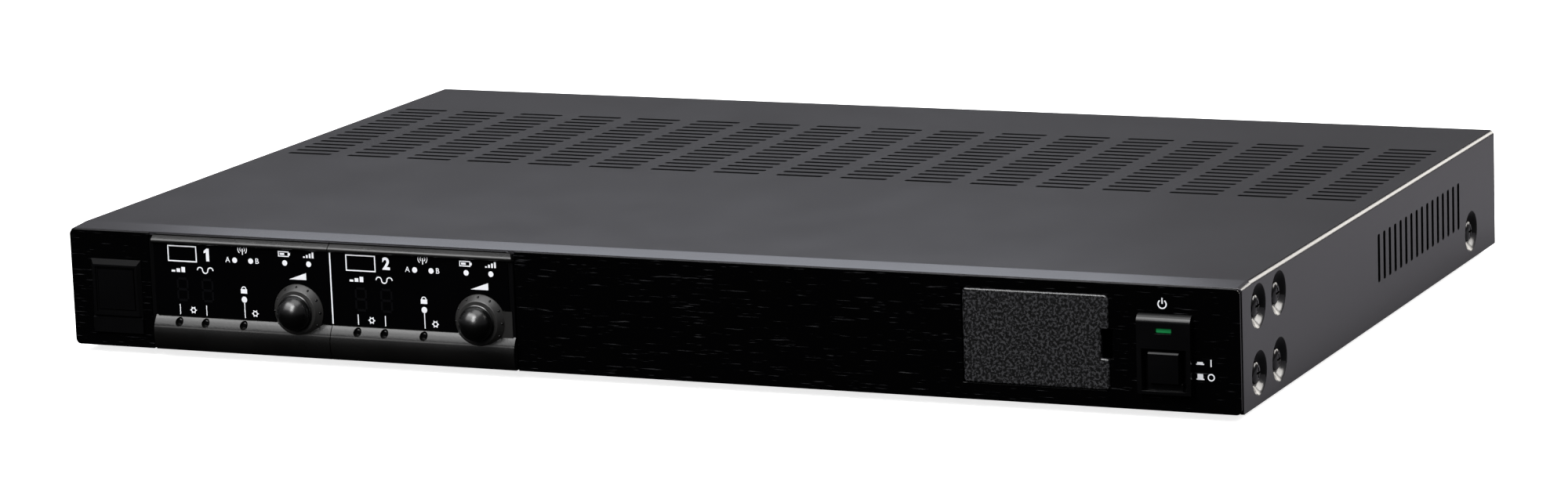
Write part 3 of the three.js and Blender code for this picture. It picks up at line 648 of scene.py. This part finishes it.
def door_opening():
    """Cutters for the door: round corners at its free edge, square ones at the hinge, slots for the pins."""
    low, high = box_mm("access_door")
    hinge_x = low.x + HINGE_ROLL
    x = (low.x - GAP, high.x + GAP)
    z = (low.z + PIN_LENGTH - GAP, high.z - PIN_LENGTH + GAP)
    corners = block((x[0], FACE - 1, z[0]), (hinge_x + HINGE_ROLL, FACE + 4, z[1]))
    reach = PIN_RADIUS + PIN_ROOM
    slots = block((hinge_x - reach, FACE + 0.2, low.z - 0.4), (hinge_x + reach, FACE + 4, high.z + 0.4))
    return [prism(rounded(x, z, PANEL_CORNER), "y", FACE - 1, FACE + 4), corners, slots]


def panel_openings():
    """Cutters for the step and the bay of the modules, the blank, the power switch and the nail's room."""
    return [
        slab((31, 169.1), (-1, 1), (-1, 42)),
        slab((33.5, 166.7), (-5, 1), (4, 36)),
        slab((10, 26), (-5, 1), (12, 28)),
        slab((387.65, 402.95), (-5, 1), (6.4, 29)),
        slab((375.4, 377.8), (-1.6, 1), NOTCH),
    ]


def make_front_panel():
    """Thin face with round corners, on a thicker plate that fits inside the cover."""
    low, high = box_mm("front_panel")
    inset = 1.5
    plate = prism(rounded((low.x, high.x), (BASE, high.z), PANEL_CORNER), "y", FACE, FACE + 1)
    back = block((low.x + inset, FACE + 0.9, low.z + 1.65), (high.x - inset, FACE + 3, high.z - inset))
    plate = join(plate, [back])
    for opening in panel_openings() + door_opening():
        plate = cut(plate, [opening])
    soften(piece("front_plate", plate, "panel_black", replaces=("front_panel",)), 0.22)


def sill_points():
    """The sill's section: a round front, steeper to the top, so that its upper half catches the light."""
    radius, bulge, middle = 9.6, 2.75, 5.4
    low, high = (math.asin((h - middle) / radius) for h in (SILL_BOTTOM, SILL_TOP))
    points = [(ahead(BEZEL_BACK), BASE + SILL_BOTTOM)]
    steps = 28
    for i in range(steps + 1):
        angle = low + (high - low) * i / steps
        inward = radius * (1 - math.cos(angle))
        points.append((ahead(bulge - inward), BASE + middle + radius * math.sin(angle)))
    points.append((ahead(BEZEL_BACK), BASE + SILL_TOP))
    return points


def lip_points():
    """The lip's section: a slope down from the top, and a rounded nose."""
    slope = [(BEZEL_BACK, LIP_BOTTOM), (BEZEL_BACK, LIP_TOP), (BEZEL_FACE, LIP_TOP), (1.15, 38.4)]
    nose = [(1.42, 38.0), (1.57, 37.6), (1.5, 37.2), (1.3, LIP_BOTTOM)]
    return [(ahead(p), BASE + h) for p, h in slope + nose]


def dial_boss(at):
    """Raised dial with a sloping rim and a bore for the shaft."""
    foot, plane, crest = ahead(BEZEL_BACK), ahead(WINDOW_AHEAD), ahead(DIAL_AHEAD)
    top = [(DIAL_BORE, crest), (7.1, crest), (7.45, crest + 0.12), (9.15, plane - 0.15)]
    rim = [(DIAL_RADIUS, plane + 0.1), (DIAL_RADIUS, foot), (DIAL_BORE, foot), (DIAL_BORE, crest)]
    return turned(top + rim, "y", (at[0], 0, at[1]), 96)


def sleeve(left, right):
    """Short box behind the bezel, which guides the module in its bay."""
    wall, back = 1.2, SLEEVE_BACK
    x = (max(left, LEFT + 33.8), min(right, LEFT + 166.4))
    z = (BASE + 4.3, BASE + 35.7)
    walls = block((x[0], ahead(-0.6), z[0]), (x[1], ahead(back), z[1]))
    room = block((x[0] + wall, ahead(-0.5), z[0] + wall), (x[1] - wall, ahead(back - 1), z[1] - wall))
    return cut(walls, [room])


def bezel_parts(number, low, high, rail, dial_at):
    """What stands on the bezel's plate: dial, sill, lip, the rail at the outer end and a patch by dial 2."""
    parts = [dial_boss(dial_at)]
    if number == 1:
        relief = (rail[1], high.x)
        rail_block = block((rail[0], FACE, low.z), (rail[1], ahead(-0.5), high.z))
    else:
        relief = (low.x, high.x)
        patch = (high.x - 6.83, ahead(0.92), BASE + 10.9), (high.x - 0.9, ahead(-0.4), BASE + 20)
        parts.append(block(*patch))
        rail_block = block((rail[0], ahead(WINDOW_AHEAD), BASE + 11), (rail[1], ahead(-0.5), BASE + 38))
    parts += [prism(sill_points(), "x", *relief), prism(lip_points(), "x", *relief), rail_block]
    return parts + [sleeve(low.x, high.x)]


def bezel_cutters(number, shift, dial_at):
    """The shaft's bore, the set holes, their wider mouths, and room for the display."""
    through = (ahead(CUT_AHEAD), ahead(SLEEVE_BACK))
    mouth = (ahead(CUT_AHEAD), ahead(-0.3))
    cutters = [[rod(DIAL_BORE, through, "y", (dial_at[0], 0, dial_at[1]))]]
    for radius, ends in ((1.2, through), (1.5, mouth)):
        places = [(LEFT + u + shift, 0, BASE + SET_H) for u, _ in SET_HOLES]
        cutters.append([rod(radius, ends, "y", place, 32) for place in places])
    display_low, display_high = box_mm(f"module_{number}_display")
    grow = Vector((GAP, 2, GAP))
    return cutters + [[block(display_low - grow, display_high + grow)]]


def make_module(number):
    """A tuner module's bezel, whose outer top corner is round, with its window, knob and set buttons."""
    shift = MODULE_SHIFT * (number - 1)
    low, high = box_mm(f"module_{number}_bezel")
    dial_at = (LEFT + DIAL_U + shift, BASE + DIAL_H)
    rail = (low.x, low.x + 1.5) if number == 1 else (high.x - 1.6, high.x)
    body = block((low.x, ahead(BEZEL_FACE), low.z), (high.x, ahead(BEZEL_BACK), high.z))
    body = join(body, bezel_parts(number, low, high, rail, dial_at))
    past = 8
    outline_x = (low.x, high.x + past) if number == 1 else (low.x - past, high.x)
    outline = prism(rounded(outline_x, (low.z - past, high.z), 3), "y", ahead(6), ahead(-12))
    body = combined(body, [outline], "INTERSECT")
    for cutters in bezel_cutters(number, shift, dial_at):
        body = cut(body, cutters)
    bezel = piece(f"module_{number}_frame", body, "bezel_grey", replaces=(f"module_{number}_bezel",))
    dress_bezel(bezel, dial_at, rail)
    soften(bezel, 0)
    make_window(number, dial_at)
    make_knob(number, dial_at)
    for u, name in SET_HOLES:
        make_set_button(number, name, LEFT + u + shift)


def dress_bezel(bezel, dial_at, rail):
    """The dial and the patch beside it are matte, and the rail beside the window is black."""
    for look in ("dial_grey", "trim_matte"):
        bezel.data.materials.append(MATERIALS[look])
    for polygon in bezel.data.polygons:
        place = polygon.center / MM
        from_dial = math.hypot(place.x - dial_at[0], place.z - dial_at[1])
        above_sill = SILL_TOP < place.z - BASE < LIP_BOTTOM
        if from_dial < DIAL_RADIUS + 0.1 and place.y < ahead(0.6):
            polygon.material_index = 1
        elif rail[0] <= place.x <= rail[1] and (above_sill or place.y > ahead(0.1)):
            polygon.material_index = 2
        elif place.y < ahead(0.8) and above_sill and place.z < BASE + 20.5:
            polygon.material_index = 1


def make_window(number, dial_at):
    low, high = box_mm(f"module_{number}_window")
    pane = block(low, high)
    pane = cut(pane, [rod(DIAL_RADIUS + GAP, (low.y - 1, high.y + 1), "y", (dial_at[0], 0, dial_at[1]), 96)])
    if number == 2:
        patch = block((high.x - 5.2, low.y - 1, low.z - 1), (high.x + 1, high.y + 1, BASE + 20.2))
        pane = cut(pane, [patch])
    window = piece(f"module_{number}_pane", pane, "window_black", replaces=(f"module_{number}_window",))
    soften(window, 0.08)


def make_knob(number, dial_at):
    """Ball-nosed knob on its shaft: the dome starts at a short skirt."""
    base = ahead(DIAL_AHEAD + GAP)
    tip = box_mm(f"volume_knob_{number}")[0].y
    socket, shoulder = base - 4, base - 0.6
    profile = [(0, socket), (DIAL_BORE, socket), (DIAL_BORE, base)]
    profile += [(5.9, base), (6.15, base - 0.12), (6.2, base - 0.4)]
    profile += [(5.95 * c, shoulder - (shoulder - tip) * s) for c, s in sweep(0, 90, 20)]
    mesh = turned(profile, "y", (dial_at[0], 0, dial_at[1]), 96)
    knob = piece(f"knob_dome_{number}", mesh, "knob_black", body=f"knob_{number}",
                 replaces=(f"volume_knob_{number}",))
    soften(knob, 0)


def make_set_button(number, name, x):
    """Thin pin with a collar, sunk in its hole."""
    tip, collar, back, end = (ahead(p) for p in (0.9, -1.2, -3.4, -4.7))
    profile = [(0, tip), (0.7, tip), (0.9, tip + 0.2), (0.9, collar), (1.8, collar), (1.8, back)]
    profile += [(0.9, back), (0.9, end), (0, end)]
    mesh = turned(profile, "y", (x, 0, BASE + SET_H), 32)
    soften(piece(f"{name}_pin_{number}", mesh, "trim_black", body=f"{name}_set_{number}",
                 replaces=(f"{name}_button_{number}",)), 0)


def make_door():
    """Textured door with a rolled hinge edge and a nail notch, and its two hinge pins."""
    low, high = box_mm("access_door")
    z = (low.z + PIN_LENGTH, high.z - PIN_LENGTH)
    hinge = (low.x + HINGE_ROLL, low.y + HINGE_ROLL)
    back = low.y + 2
    edge = math.asin((back - hinge[1]) / HINGE_ROLL)
    section = [(high.x, low.y), (high.x, back)]
    steps = 20
    for i in range(steps + 1):
        angle = edge + (1.5 * math.pi - edge) * i / steps
        section.append((hinge[0] + HINGE_ROLL * math.cos(angle), hinge[1] + HINGE_ROLL * math.sin(angle)))
    leaf = prism(section, "z", *z)
    outline = prism(rounded((low.x, high.x), z, 1.5), "y", low.y - 1, high.y + 1)
    leaf = combined(leaf, [outline], "INTERSECT")
    notch = block((high.x - 2.6, low.y - 1, BASE + NOTCH[0]), (high.x + 1, high.y + 1, BASE + NOTCH[1]))
    leaf = piece("door_leaf", cut(leaf, [notch]), "door_grey", body="door", replaces=("access_door",))
    soften(leaf, 0.5, 4, clamp=False)
    length = PIN_LENGTH + 0.4
    feet = (low.z, high.z - length)
    pins = [rod(PIN_RADIUS, (foot, foot + length), "z", (*hinge, 0), 24) for foot in feet]
    soften(piece("door_pins", merged(pins), "trim_black", body="door"), 0)


def make_power_bezel():
    """Power switch frame: a round hood over the lens, and a recess with a ledge for the button."""
    low, high = box_mm("power_bezel")
    middle = (low.x + high.x) / 2 - LEFT
    button_low, button_high = box_mm("power_button")
    lens_low, lens_high = box_mm("power_lens")
    rise, reach = 2.6, FACE - low.y - GAP
    section = [(ahead(GAP), low.z), (ahead(GAP), high.z)]
    section += [(ahead(GAP + reach * c), high.z - rise + rise * s) for c, s in sweep(90, 0, 14)]
    section.append((low.y, low.z + 0.2))
    sides = slab((middle - 7.35, middle + 7.35), (-8, 1), (6.7, 28.7))
    recess = slab((middle - 7.4, middle + 7.4), (-1, 5), (6.9, 20.4))
    ledge = slab((middle - 5.7, middle + 5.7), (-1.2, 1.6), (6.8, button_low.z - BASE - GAP))
    body = join(prism(section, "x", low.x, high.x), [sides])
    body = join(cut(body, [recess]), [ledge])
    hole_low, hole_high = button_low - Vector((GAP, 0, GAP)), button_high + Vector((GAP, 0, GAP))
    body = cut(body, [block((hole_low.x, FACE - 5, hole_low.z), (hole_high.x, FACE + 12, hole_high.z))])
    body = cut(body, [block((lens_low.x - GAP, FACE - 5, lens_low.z - GAP),
                            (lens_high.x + GAP, FACE + 12, lens_high.z + GAP))])
    soften(piece("power_hood", body, "trim_black", replaces=("power_bezel",)), 0.3)


# ---- Printing: pictograms instead of words ----

INK_THICKNESS = 0.02
INK_GAP = 0.01
PRINT_SHIFT = 0.3


class Ink:
    """Flat printed marks on one face, gathered into one piece."""

    def __init__(self, depth, look="ink"):
        self.look = look
        self.front = ahead(depth + INK_GAP + INK_THICKNESS)
        self.back = ahead(depth + INK_GAP)
        self.marks = []

    def bar(self, u, h):
        low, high = (LEFT + u[0], self.front, BASE + h[0]), (LEFT + u[1], self.back, BASE + h[1])
        self.marks.append(block(low, high))

    def shape(self, points):
        self.marks.append(prism([(LEFT + u, BASE + h) for u, h in points], "y", self.front, self.back))

    def disc(self, u, h, radius):
        self.marks.append(rod(radius, (self.front, self.back), "y", (LEFT + u, 0, BASE + h), 32))

    def arc(self, u, h, radius, width, start, end, steps=20):
        outer, inner = radius + width / 2, radius - width / 2
        angles = sweep(start, end, steps)
        points = [(u + outer * c, h + outer * s) for c, s in angles]
        self.shape(points + [(u + inner * c, h + inner * s) for c, s in reversed(angles)])

    def ring(self, u, h, radius, width):
        outer, inner = radius + width / 2, radius - width / 2
        profile = [(inner, self.front), (outer, self.front), (outer, self.back), (inner, self.back),
                   (inner, self.front)]
        self.marks.append(turned(profile, "y", (LEFT + u, 0, BASE + h), 32))

    def outline(self, u, h, width):
        self.bar((u[0], u[1]), (h[0], h[0] + width))
        self.bar((u[0], u[1]), (h[1] - width, h[1]))
        self.bar((u[0], u[0] + width), (h[0] + width, h[1] - width))
        self.bar((u[1] - width, u[1]), (h[0] + width, h[1] - width))

    def character(self, letter, u, h, size, bold=0.0):
        curve = bpy.data.curves.new("character", "FONT")
        curve.body = letter
        curve.size = size
        curve.offset = bold
        curve.extrude = INK_THICKNESS / 2
        curve.align_x = "CENTER"
        curve.align_y = "CENTER"
        holder = bpy.data.objects.new("character", curve)
        show(holder)
        mesh = bpy.data.meshes.new_from_object(holder.evaluated_get(bpy.context.evaluated_depsgraph_get()))
        bpy.data.objects.remove(holder)
        upright = Matrix.Rotation(math.radians(90), 4, "X")
        mesh.transform(Matrix.Translation((LEFT + u, (self.front + self.back) / 2, BASE + h)) @ upright)
        mesh.materials.clear()
        self.marks.append(without_slivers(mesh))

    def finish(self, name):
        return piece(name, merged(self.marks), self.look)


def print_name(ink, number, s):
    """The name frame and the module's number; group is three rising bars, channel a wave."""
    ink.outline((38.4 + s, 49.6 + s), (30.8, 36.4), 0.42)
    if number == 1:
        ink.shape([(53.2 + s, 31.4), (54.4 + s, 31.4), (54.4 + s, 35.8), (53.5 + s, 35.8), (52.4 + s, 34.9),
                   (52.4 + s, 34.1), (53.2 + s, 34.5)])
    else:
        ink.character("2", 53.6 + s, 33.7, 5.6, 0.2)
    for i in range(3):
        ink.bar((39.6 + 1.9 * i + s, 41.0 + 1.9 * i + s), (27.2, 27.9 + 0.55 * i))
    for i, start in enumerate((0, 180, 0)):
        ink.arc(50.6 + 2.0 * i + s, 28.2, 1.0, 0.4, start, start + 180, 10)


def print_lamps(ink, s):
    """Aerial lamps A and B under an aerial, and the battery and peak lamps under theirs."""
    for u, letter, side in ((64.2, "A", -2.7), (70.3, "B", 2.4)):
        ink.disc(u + s, 32.3, 0.95)
        ink.character(letter, u + side + s, 32.3, 2.6, 0.02)
    ink.bar((67.1 + s, 67.5 + s), (34.3, 36.4))
    for radius in (0.9, 1.7):
        for middle in (0, 180):
            ink.arc(67.3 + s, 36.2, radius, 0.3, middle - 50, middle + 50, 8)
    for u in (83.3, 92.4):
        ink.disc(u + s, 32.3, 0.95)
    ink.outline((80.9 + s, 85.0 + s), (34.4, 36.3), 0.35)
    ink.bar((85.0 + s, 85.5 + s), (34.9, 35.8))
    ink.bar((81.6 + s, 83.3 + s), (35.0, 35.7))
    for i in range(4):
        ink.bar((90.4 + 1.1 * i + s, 91.1 + 1.1 * i + s), (34.4, 34.9 + 0.5 * i))


def print_controls(ink, s):
    """A wedge for volume, a padlock over the security lamp, and lines and cogs over the set holes."""
    ink.shape([(84.6 + s, 26.8), (91.2 + s, 26.8), (91.2 + s, 29.2)])
    ink.bar((65.9 + s, 68.3 + s), (21.0, 22.5))
    ink.arc(67.1 + s, 22.5, 0.8, 0.35, 0, 180, 10)
    ink.disc(67.1 + s, 18.9, 1.05)
    ink.bar((66.9 + s, 67.25 + s), (12.6, 18.0))
    for u in (42.1, 52.3):
        ink.bar((u - 0.15 + s, u + 0.2 + s), (12.6, 16.1))
    for u in (47.2, 71.0):
        ink.ring(u + s, 14.3, 0.75, 0.4)
        for across, up in sweep(0, 300, 5):
            ink.disc(u + 1.1 * across + s, 14.3 + 1.1 * up, 0.2)


def print_module(number):
    ink = Ink(WINDOW_AHEAD)
    shift = MODULE_SHIFT * (number - 1) + PRINT_SHIFT
    print_name(ink, number, shift)
    print_lamps(ink, shift)
    print_controls(ink, shift)
    if number == 1:
        ink.bar((100.55, 101.05), (12.4, 36.7))
    ink.finish(f"module_{number}_marks")


def display_digits(number):
    """The two unlit seven-segment digits behind the window, just lighter than its black."""
    ink = Ink(WINDOW_AHEAD, "unlit")
    s = MODULE_SHIFT * (number - 1) + PRINT_SHIFT
    stroke = 0.7
    for left, right in ((41.3, 45.8), (50.9, 55.4)):
        for h in (17.2, 20.9, 24.6):
            ink.bar((left + stroke + s, right - stroke + s), (h, h + 0.8))
        for h in (18.0, 21.7):
            ink.bar((left + s, left + stroke + s), (h, h + 2.9))
            ink.bar((right - stroke + s, right + s), (h, h + 2.9))
    ink.finish(f"module_{number}_unlit_digits")


def dial_dots(number):
    """Moulded dots on the dial's slope, from minimum to maximum."""
    shift = MODULE_SHIFT * (number - 1)
    tip, foot = ahead(2.05), ahead(1)
    dome = [(0, tip), (0.2, tip + 0.05), (0.34, tip + 0.2), (0.38, tip + 0.4), (0.38, foot), (0, foot)]
    dots = []
    for c, s in sweep(240, -60, DOT_COUNT - 1):
        u, h = DIAL_U + shift + DOT_CIRCLE * c, DIAL_H + DOT_CIRCLE * s
        dots.append(turned(dome, "y", (LEFT + u, 0, BASE + h), 16))
    soften(piece(f"dial_{number}_dots", merged(dots), "trim_black"), 0)


def print_panel():
    """Power is a broken ring and a bar; the button pushed in is on, and standing out is off."""
    ink = Ink(0)
    ink.arc(394.2, 34.2, 1.35, 0.42, 125, 415, 24)
    ink.bar((394.0, 394.4), (34.3, 36.2))
    for h, rise in ((15.5, 0.5), (10.7, 1.5)):
        ink.bar((405.0, 407.6), (h, h + 0.4))
        ink.bar((405.35, 407.25), (h + 0.4, h + 0.4 + rise))
    ink.bar((409.7, 410.1), (15.0, 17.3))
    ink.ring(409.9, 11.6, 1.0, 0.38)
    ink.finish("panel_marks")


# ---- Feet and rear sockets ----

def make_feet():
    for i in range(1, 5):
        low, high = box_mm(f"foot_{i}")
        stem, top, height = 2.5, 2.9, high.z - low.z
        profile = [(0, 0.5), (4.2, 0.5), (4.6, 0), (7.2, 0), (7.7, 0.3), (8, 0.9), (8, 2.7), (7.8, top)]
        profile += [(stem, top), (stem, height), (0, height)]
        centre = (low + high) / 2
        foot = turned(profile, "z", (centre.x, centre.y, low.z))
        soften(piece(f"rubber_foot_{i}", foot, "rubber", replaces=(f"foot_{i}",)), 0)


def hexagon(x, z, across):
    radius = across / math.sqrt(3)
    return [(x + radius * c, z + radius * s) for c, s in sweep(0, 300, 5)]


def make_aerial_sockets():
    for name in ("a", "b"):
        node = f"aerial_socket_{name}"
        low, high = box_mm(node)
        x, z = (low.x + high.x) / 2, (low.z + high.z) / 2
        outside, end = WALL + GAP, high.y
        shell = turned([(0, low.y), (5.6, low.y), (5.6, outside), (8, outside), (8, outside + 0.6),
                        (4.85, outside + 0.6), (4.85, end - 0.3), (4.6, end), (4.2, end), (4.1, end - 0.2),
                        (4.1, end - 6), (0, end - 6)], "y", (x, 0, z))
        nut = prism(hexagon(x, z, 12.5), "y", outside + 0.5, outside + 2.6)
        lugs = [rod(1, (low_end, low_end + 1.1), "z", (x, end - 4, z), 24) for low_end in (-5.6, 4.5)]
        shell = join(shell, [nut, *lugs])
        soften(piece(f"{node}_shell", shell, "brass", replaces=(node,)), 0.12)
        back, edge, tip = end - 6.2, end - 1.7, end - 1.5
        core = turned([(0.75, back), (2.3, back), (2.3, edge), (2.1, tip), (0.9, tip), (0.75, edge),
                       (0.75, back)], "y", (x, 0, z), 48)
        soften(piece(f"{node}_core", core, "white_plastic"), 0)


def make_jacks():
    for number in (1, 2):
        node = f"output_jack_{number}"
        low, high = box_mm(node)
        x, z = (low.x + high.x) / 2, (low.z + high.z) / 2
        outside, end = WALL + GAP, high.y
        body = block(low, (high.x, WALL - SHEET - GAP, high.z))
        bore, back, lip = 3.3, WALL - 12, outside + 0.7
        barrel = turned([(bore, back), (5.5, back), (5.5, outside), (8, outside), (8, lip), (5.3, lip),
                         (5.3, end - 0.4), (5, end), (3.6, end), (bore, end - 0.3), (bore, back)],
                        "y", (x, 0, z))
        body = join(body, [barrel])
        body = cut(body, [rod(bore, (WALL - 22, WALL + 1), "y", (x, 0, z))])
        soften(piece(f"{node}_body", body, "plastic", replaces=(node,)), 0.15)
        nut = cut(prism(hexagon(x, z, 14), "y", outside + 0.72, outside + 2.7),
                  [rod(5.32, (outside, outside + 4), "y", (x, 0, z))])
        soften(piece(f"{node}_nut", nut, "plain_steel"), 0.15)


def make_terminals():
    """Terminal block: a row of wire mouths under a row of screws in wells."""
    low, high = box_mm("output_terminals")
    x0, z0 = (low.x + high.x) / 2, (low.z + high.z) / 2
    count, pitch, screw_z = 6, 6.2, z0 + 2.4
    places = [x0 + (i - (count - 1) / 2) * pitch for i in range(count)]
    mouths = [block((x - 1.6, WALL, z0 - 3.8), (x + 1.6, WALL + 8, z0 - 0.8)) for x in places]
    wells = [rod(1.7, (WALL + 4, WALL + 8), "y", (x, 0, screw_z), 32) for x in places]
    body = cut(cut(block(low, high), mouths), wells)
    soften(piece("terminal_body", body, "plastic", replaces=("output_terminals",)), 0.2)
    foot, rim, top = WALL + 4.05, WALL + 5.3, WALL + 5.5
    for i, x in enumerate(places):
        head = turned([(0, foot), (1.4, foot), (1.4, rim), (1.2, top), (0, top)], "y", (x, 0, screw_z), 32)
        head = cut(head, [block((x - 1.3, WALL + 5.0, z0 + 2.25), (x + 1.3, WALL + 6, z0 + 2.55))])
        soften(piece(f"terminal_screw_{i + 1}", head, "plain_steel"), 0)


def make_inlet():
    low, high = box_mm("mains_inlet")
    x, z = (low.x + high.x) / 2, (low.z + high.z) / 2
    outside = WALL + GAP
    flange = prism(rounded((low.x, high.x), (low.z, high.z), 2.5), "y", outside, high.y)
    body = block((x - 13.5, low.y, z - 10), (x + 13.5, outside + 1, z + 10))
    wide, narrow, tall, shoulder = 12, 8, 8.25, 4.5
    cup = [(x - wide, z - tall), (x + wide, z - tall), (x + wide, z + shoulder)]
    cup += [(x + narrow, z + tall), (x - narrow, z + tall), (x - wide, z + shoulder)]
    shell = cut(join(flange, [body]), [prism(cup, "y", WALL - 15, WALL + 3)])
    soften(piece("inlet_shell", shell, "plastic", replaces=("mains_inlet",)), 0.25)
    for i, (dx, dz) in enumerate(((-7, 1), (0, 4), (7, 1))):
        blade = block((x + dx - 1, WALL - 15.5, z + dz - 2), (x + dx + 1, WALL - 1, z + dz + 2))
        soften(piece(f"inlet_pin_{i + 1}", blade, "plain_steel"), 0.4)


# ---- Lights, floor and world ----

def add_area(name, place, target, size, power, color=(1, 1, 1)):
    data = bpy.data.lights.new(name, "AREA")
    data.shape = "RECTANGLE"
    data.size, data.size_y = size
    data.energy = power
    data.color = color
    light = bpy.data.objects.new(name, data)
    light.location = place
    light.rotation_euler = (Vector(target) - Vector(place)).to_track_quat("-Z", "Y").to_euler()
    light.visible_camera = False
    show(light)


def add_world():
    """Studio room: white to the camera, and for light and reflections dark below and soft grey above."""
    world = bpy.data.worlds.new("studio")
    world.use_nodes = True
    tree = world.node_tree
    tree.nodes.clear()
    place = tree.nodes.new("ShaderNodeTexCoord")
    split = tree.nodes.new("ShaderNodeSeparateXYZ")
    tree.links.new(place.outputs["Generated"], split.inputs[0])
    ramp = tree.nodes.new("ShaderNodeValToRGB")
    stops = ((0.0, 0.004), (0.49, 0.004), (0.52, 0.1), (0.6, 0.11), (0.8, 0.25), (1.0, 0.4))
    while len(ramp.color_ramp.elements) < len(stops):
        ramp.color_ramp.elements.new(0.5)
    for element, (position, value) in zip(ramp.color_ramp.elements, stops):
        element.position = position
        element.color = (value, value, value * 1.04, 1)
    height = tree.nodes.new("ShaderNodeMapRange")
    height.inputs["From Min"].default_value = -1
    tree.links.new(split.outputs["Z"], height.inputs["Value"])
    tree.links.new(height.outputs["Result"], ramp.inputs["Fac"])
    room = tree.nodes.new("ShaderNodeBackground")
    tree.links.new(ramp.outputs["Color"], room.inputs["Color"])
    white = tree.nodes.new("ShaderNodeBackground")
    white.inputs["Color"].default_value = (1, 1, 1, 1)
    white.inputs["Strength"].default_value = 1.1
    path = tree.nodes.new("ShaderNodeLightPath")
    mix = tree.nodes.new("ShaderNodeMixShader")
    output = tree.nodes.new("ShaderNodeOutputWorld")
    tree.links.new(path.outputs["Is Camera Ray"], mix.inputs["Fac"])
    tree.links.new(room.outputs[0], mix.inputs[1])
    tree.links.new(white.outputs[0], mix.inputs[2])
    tree.links.new(mix.outputs[0], output.inputs["Surface"])
    bpy.context.scene.world = world


def add_floor():
    """Plain pale floor. Only the camera sees it, so that it throws no light up onto the black front."""
    reach = 6000
    n = Nodes("floor")
    n.fixed(Roughness=0.9, Specular_IOR_Level=0.0, Emission_Color=(1, 1, 1, 1), Emission_Strength=0.8)
    n.shade(n.ramp(n.noise(3), [(0.3, 0.86), (0.7, 0.88)]))
    floor = finished("floor", block((-reach, -reach, -2), (reach, reach, 0)), n.material)
    floor.visible_glossy = False
    floor.visible_diffuse = False


def add_card():
    """Grey card on the floor round the sides and the back, seen in reflections and not by the camera."""
    reach, edge, low, high = 1400, 2, 0.02, 0.12
    strips = [
        block((RIGHT + edge, FACE, low), (RIGHT + reach, REAR + reach, high)),
        block((LEFT - reach, FACE, low), (LEFT - edge, REAR + reach, high)),
        block((LEFT - edge, REAR + edge, low), (RIGHT + edge, REAR + reach, high)),
    ]
    n = Nodes("card")
    n.fixed(Roughness=0.9, Specular_IOR_Level=0.0)
    n.shade(n.ramp(n.noise(3), [(0.3, (0.165, 0.162, 0.178)), (0.7, (0.175, 0.172, 0.188))]))
    card = finished("card", merged(strips), n.material)
    card.visible_camera = False
    card.visible_shadow = False
    card.visible_diffuse = False


def add_lights():
    add_area("key_high", (-0.38, -0.83, 1.19), (-0.05, -0.12, 0.03), (1.5, 0.5), 15.5)
    add_area("key_low", (-0.525, -1.15, 0.85), (-0.05, -0.12, 0.03), (1.5, 0.5), 7.4)
    add_area("key_core", (-0.02, -1.25, 0.88), (-0.05, -0.12, 0.03), (0.36, 0.9), 9.5)
    add_area("overhead", (0.1, 0.0, 1.6), (0, 0, 0), (1.6, 1.3), 15)
    add_area("back_left", (-0.6, 1.1, 0.73), (-0.05, -0.1, 0.04), (0.6, 0.44), 0.95, (0.86, 0.9, 1))
    add_area("back_right", (0.55, 1.05, 0.36), (0.2, 0, 0.04), (0.5, 0.42), 3, (1, 0.96, 0.9))
    add_area("right_high", (1.05, 0.5, 0.85), (0.2, 0, 0.02), (0.9, 0.6), 14, (1, 0.97, 0.93))


# ---- Assembly ----

# CAD nodes that show as they are, with their edges rounded by this much (mm)
BEVELS = {"blank_cap": 0.3, "power_button": 0.3, "power_lens": 0.1,
          "access_well": 0.2, "setting_switch": 0.15, "base_chassis": 0, "power_transformer": 0.8}


def main():
    add_camera()
    MATERIALS.update(make_materials())
    slots = {part["node"]: part["material_slot"] for part in frame["record"]["subparts"]}
    for node, look in slots.items():
        dress_cad(node, look, BEVELS.get(node, 0))
    dress_cad("blank_bezel", "trim_matte", 0.25)
    make_cover()
    make_screws()
    make_front_panel()
    for number in (1, 2):
        make_module(number)
        print_module(number)
        display_digits(number)
        dial_dots(number)
    make_power_bezel()
    print_panel()
    make_door()
    make_feet()
    make_aerial_sockets()
    make_jacks()
    make_terminals()
    make_inlet()
    add_world()
    add_floor()
    add_card()
    add_lights()
    bpy.context.scene.view_settings.view_transform = "Standard"


main()
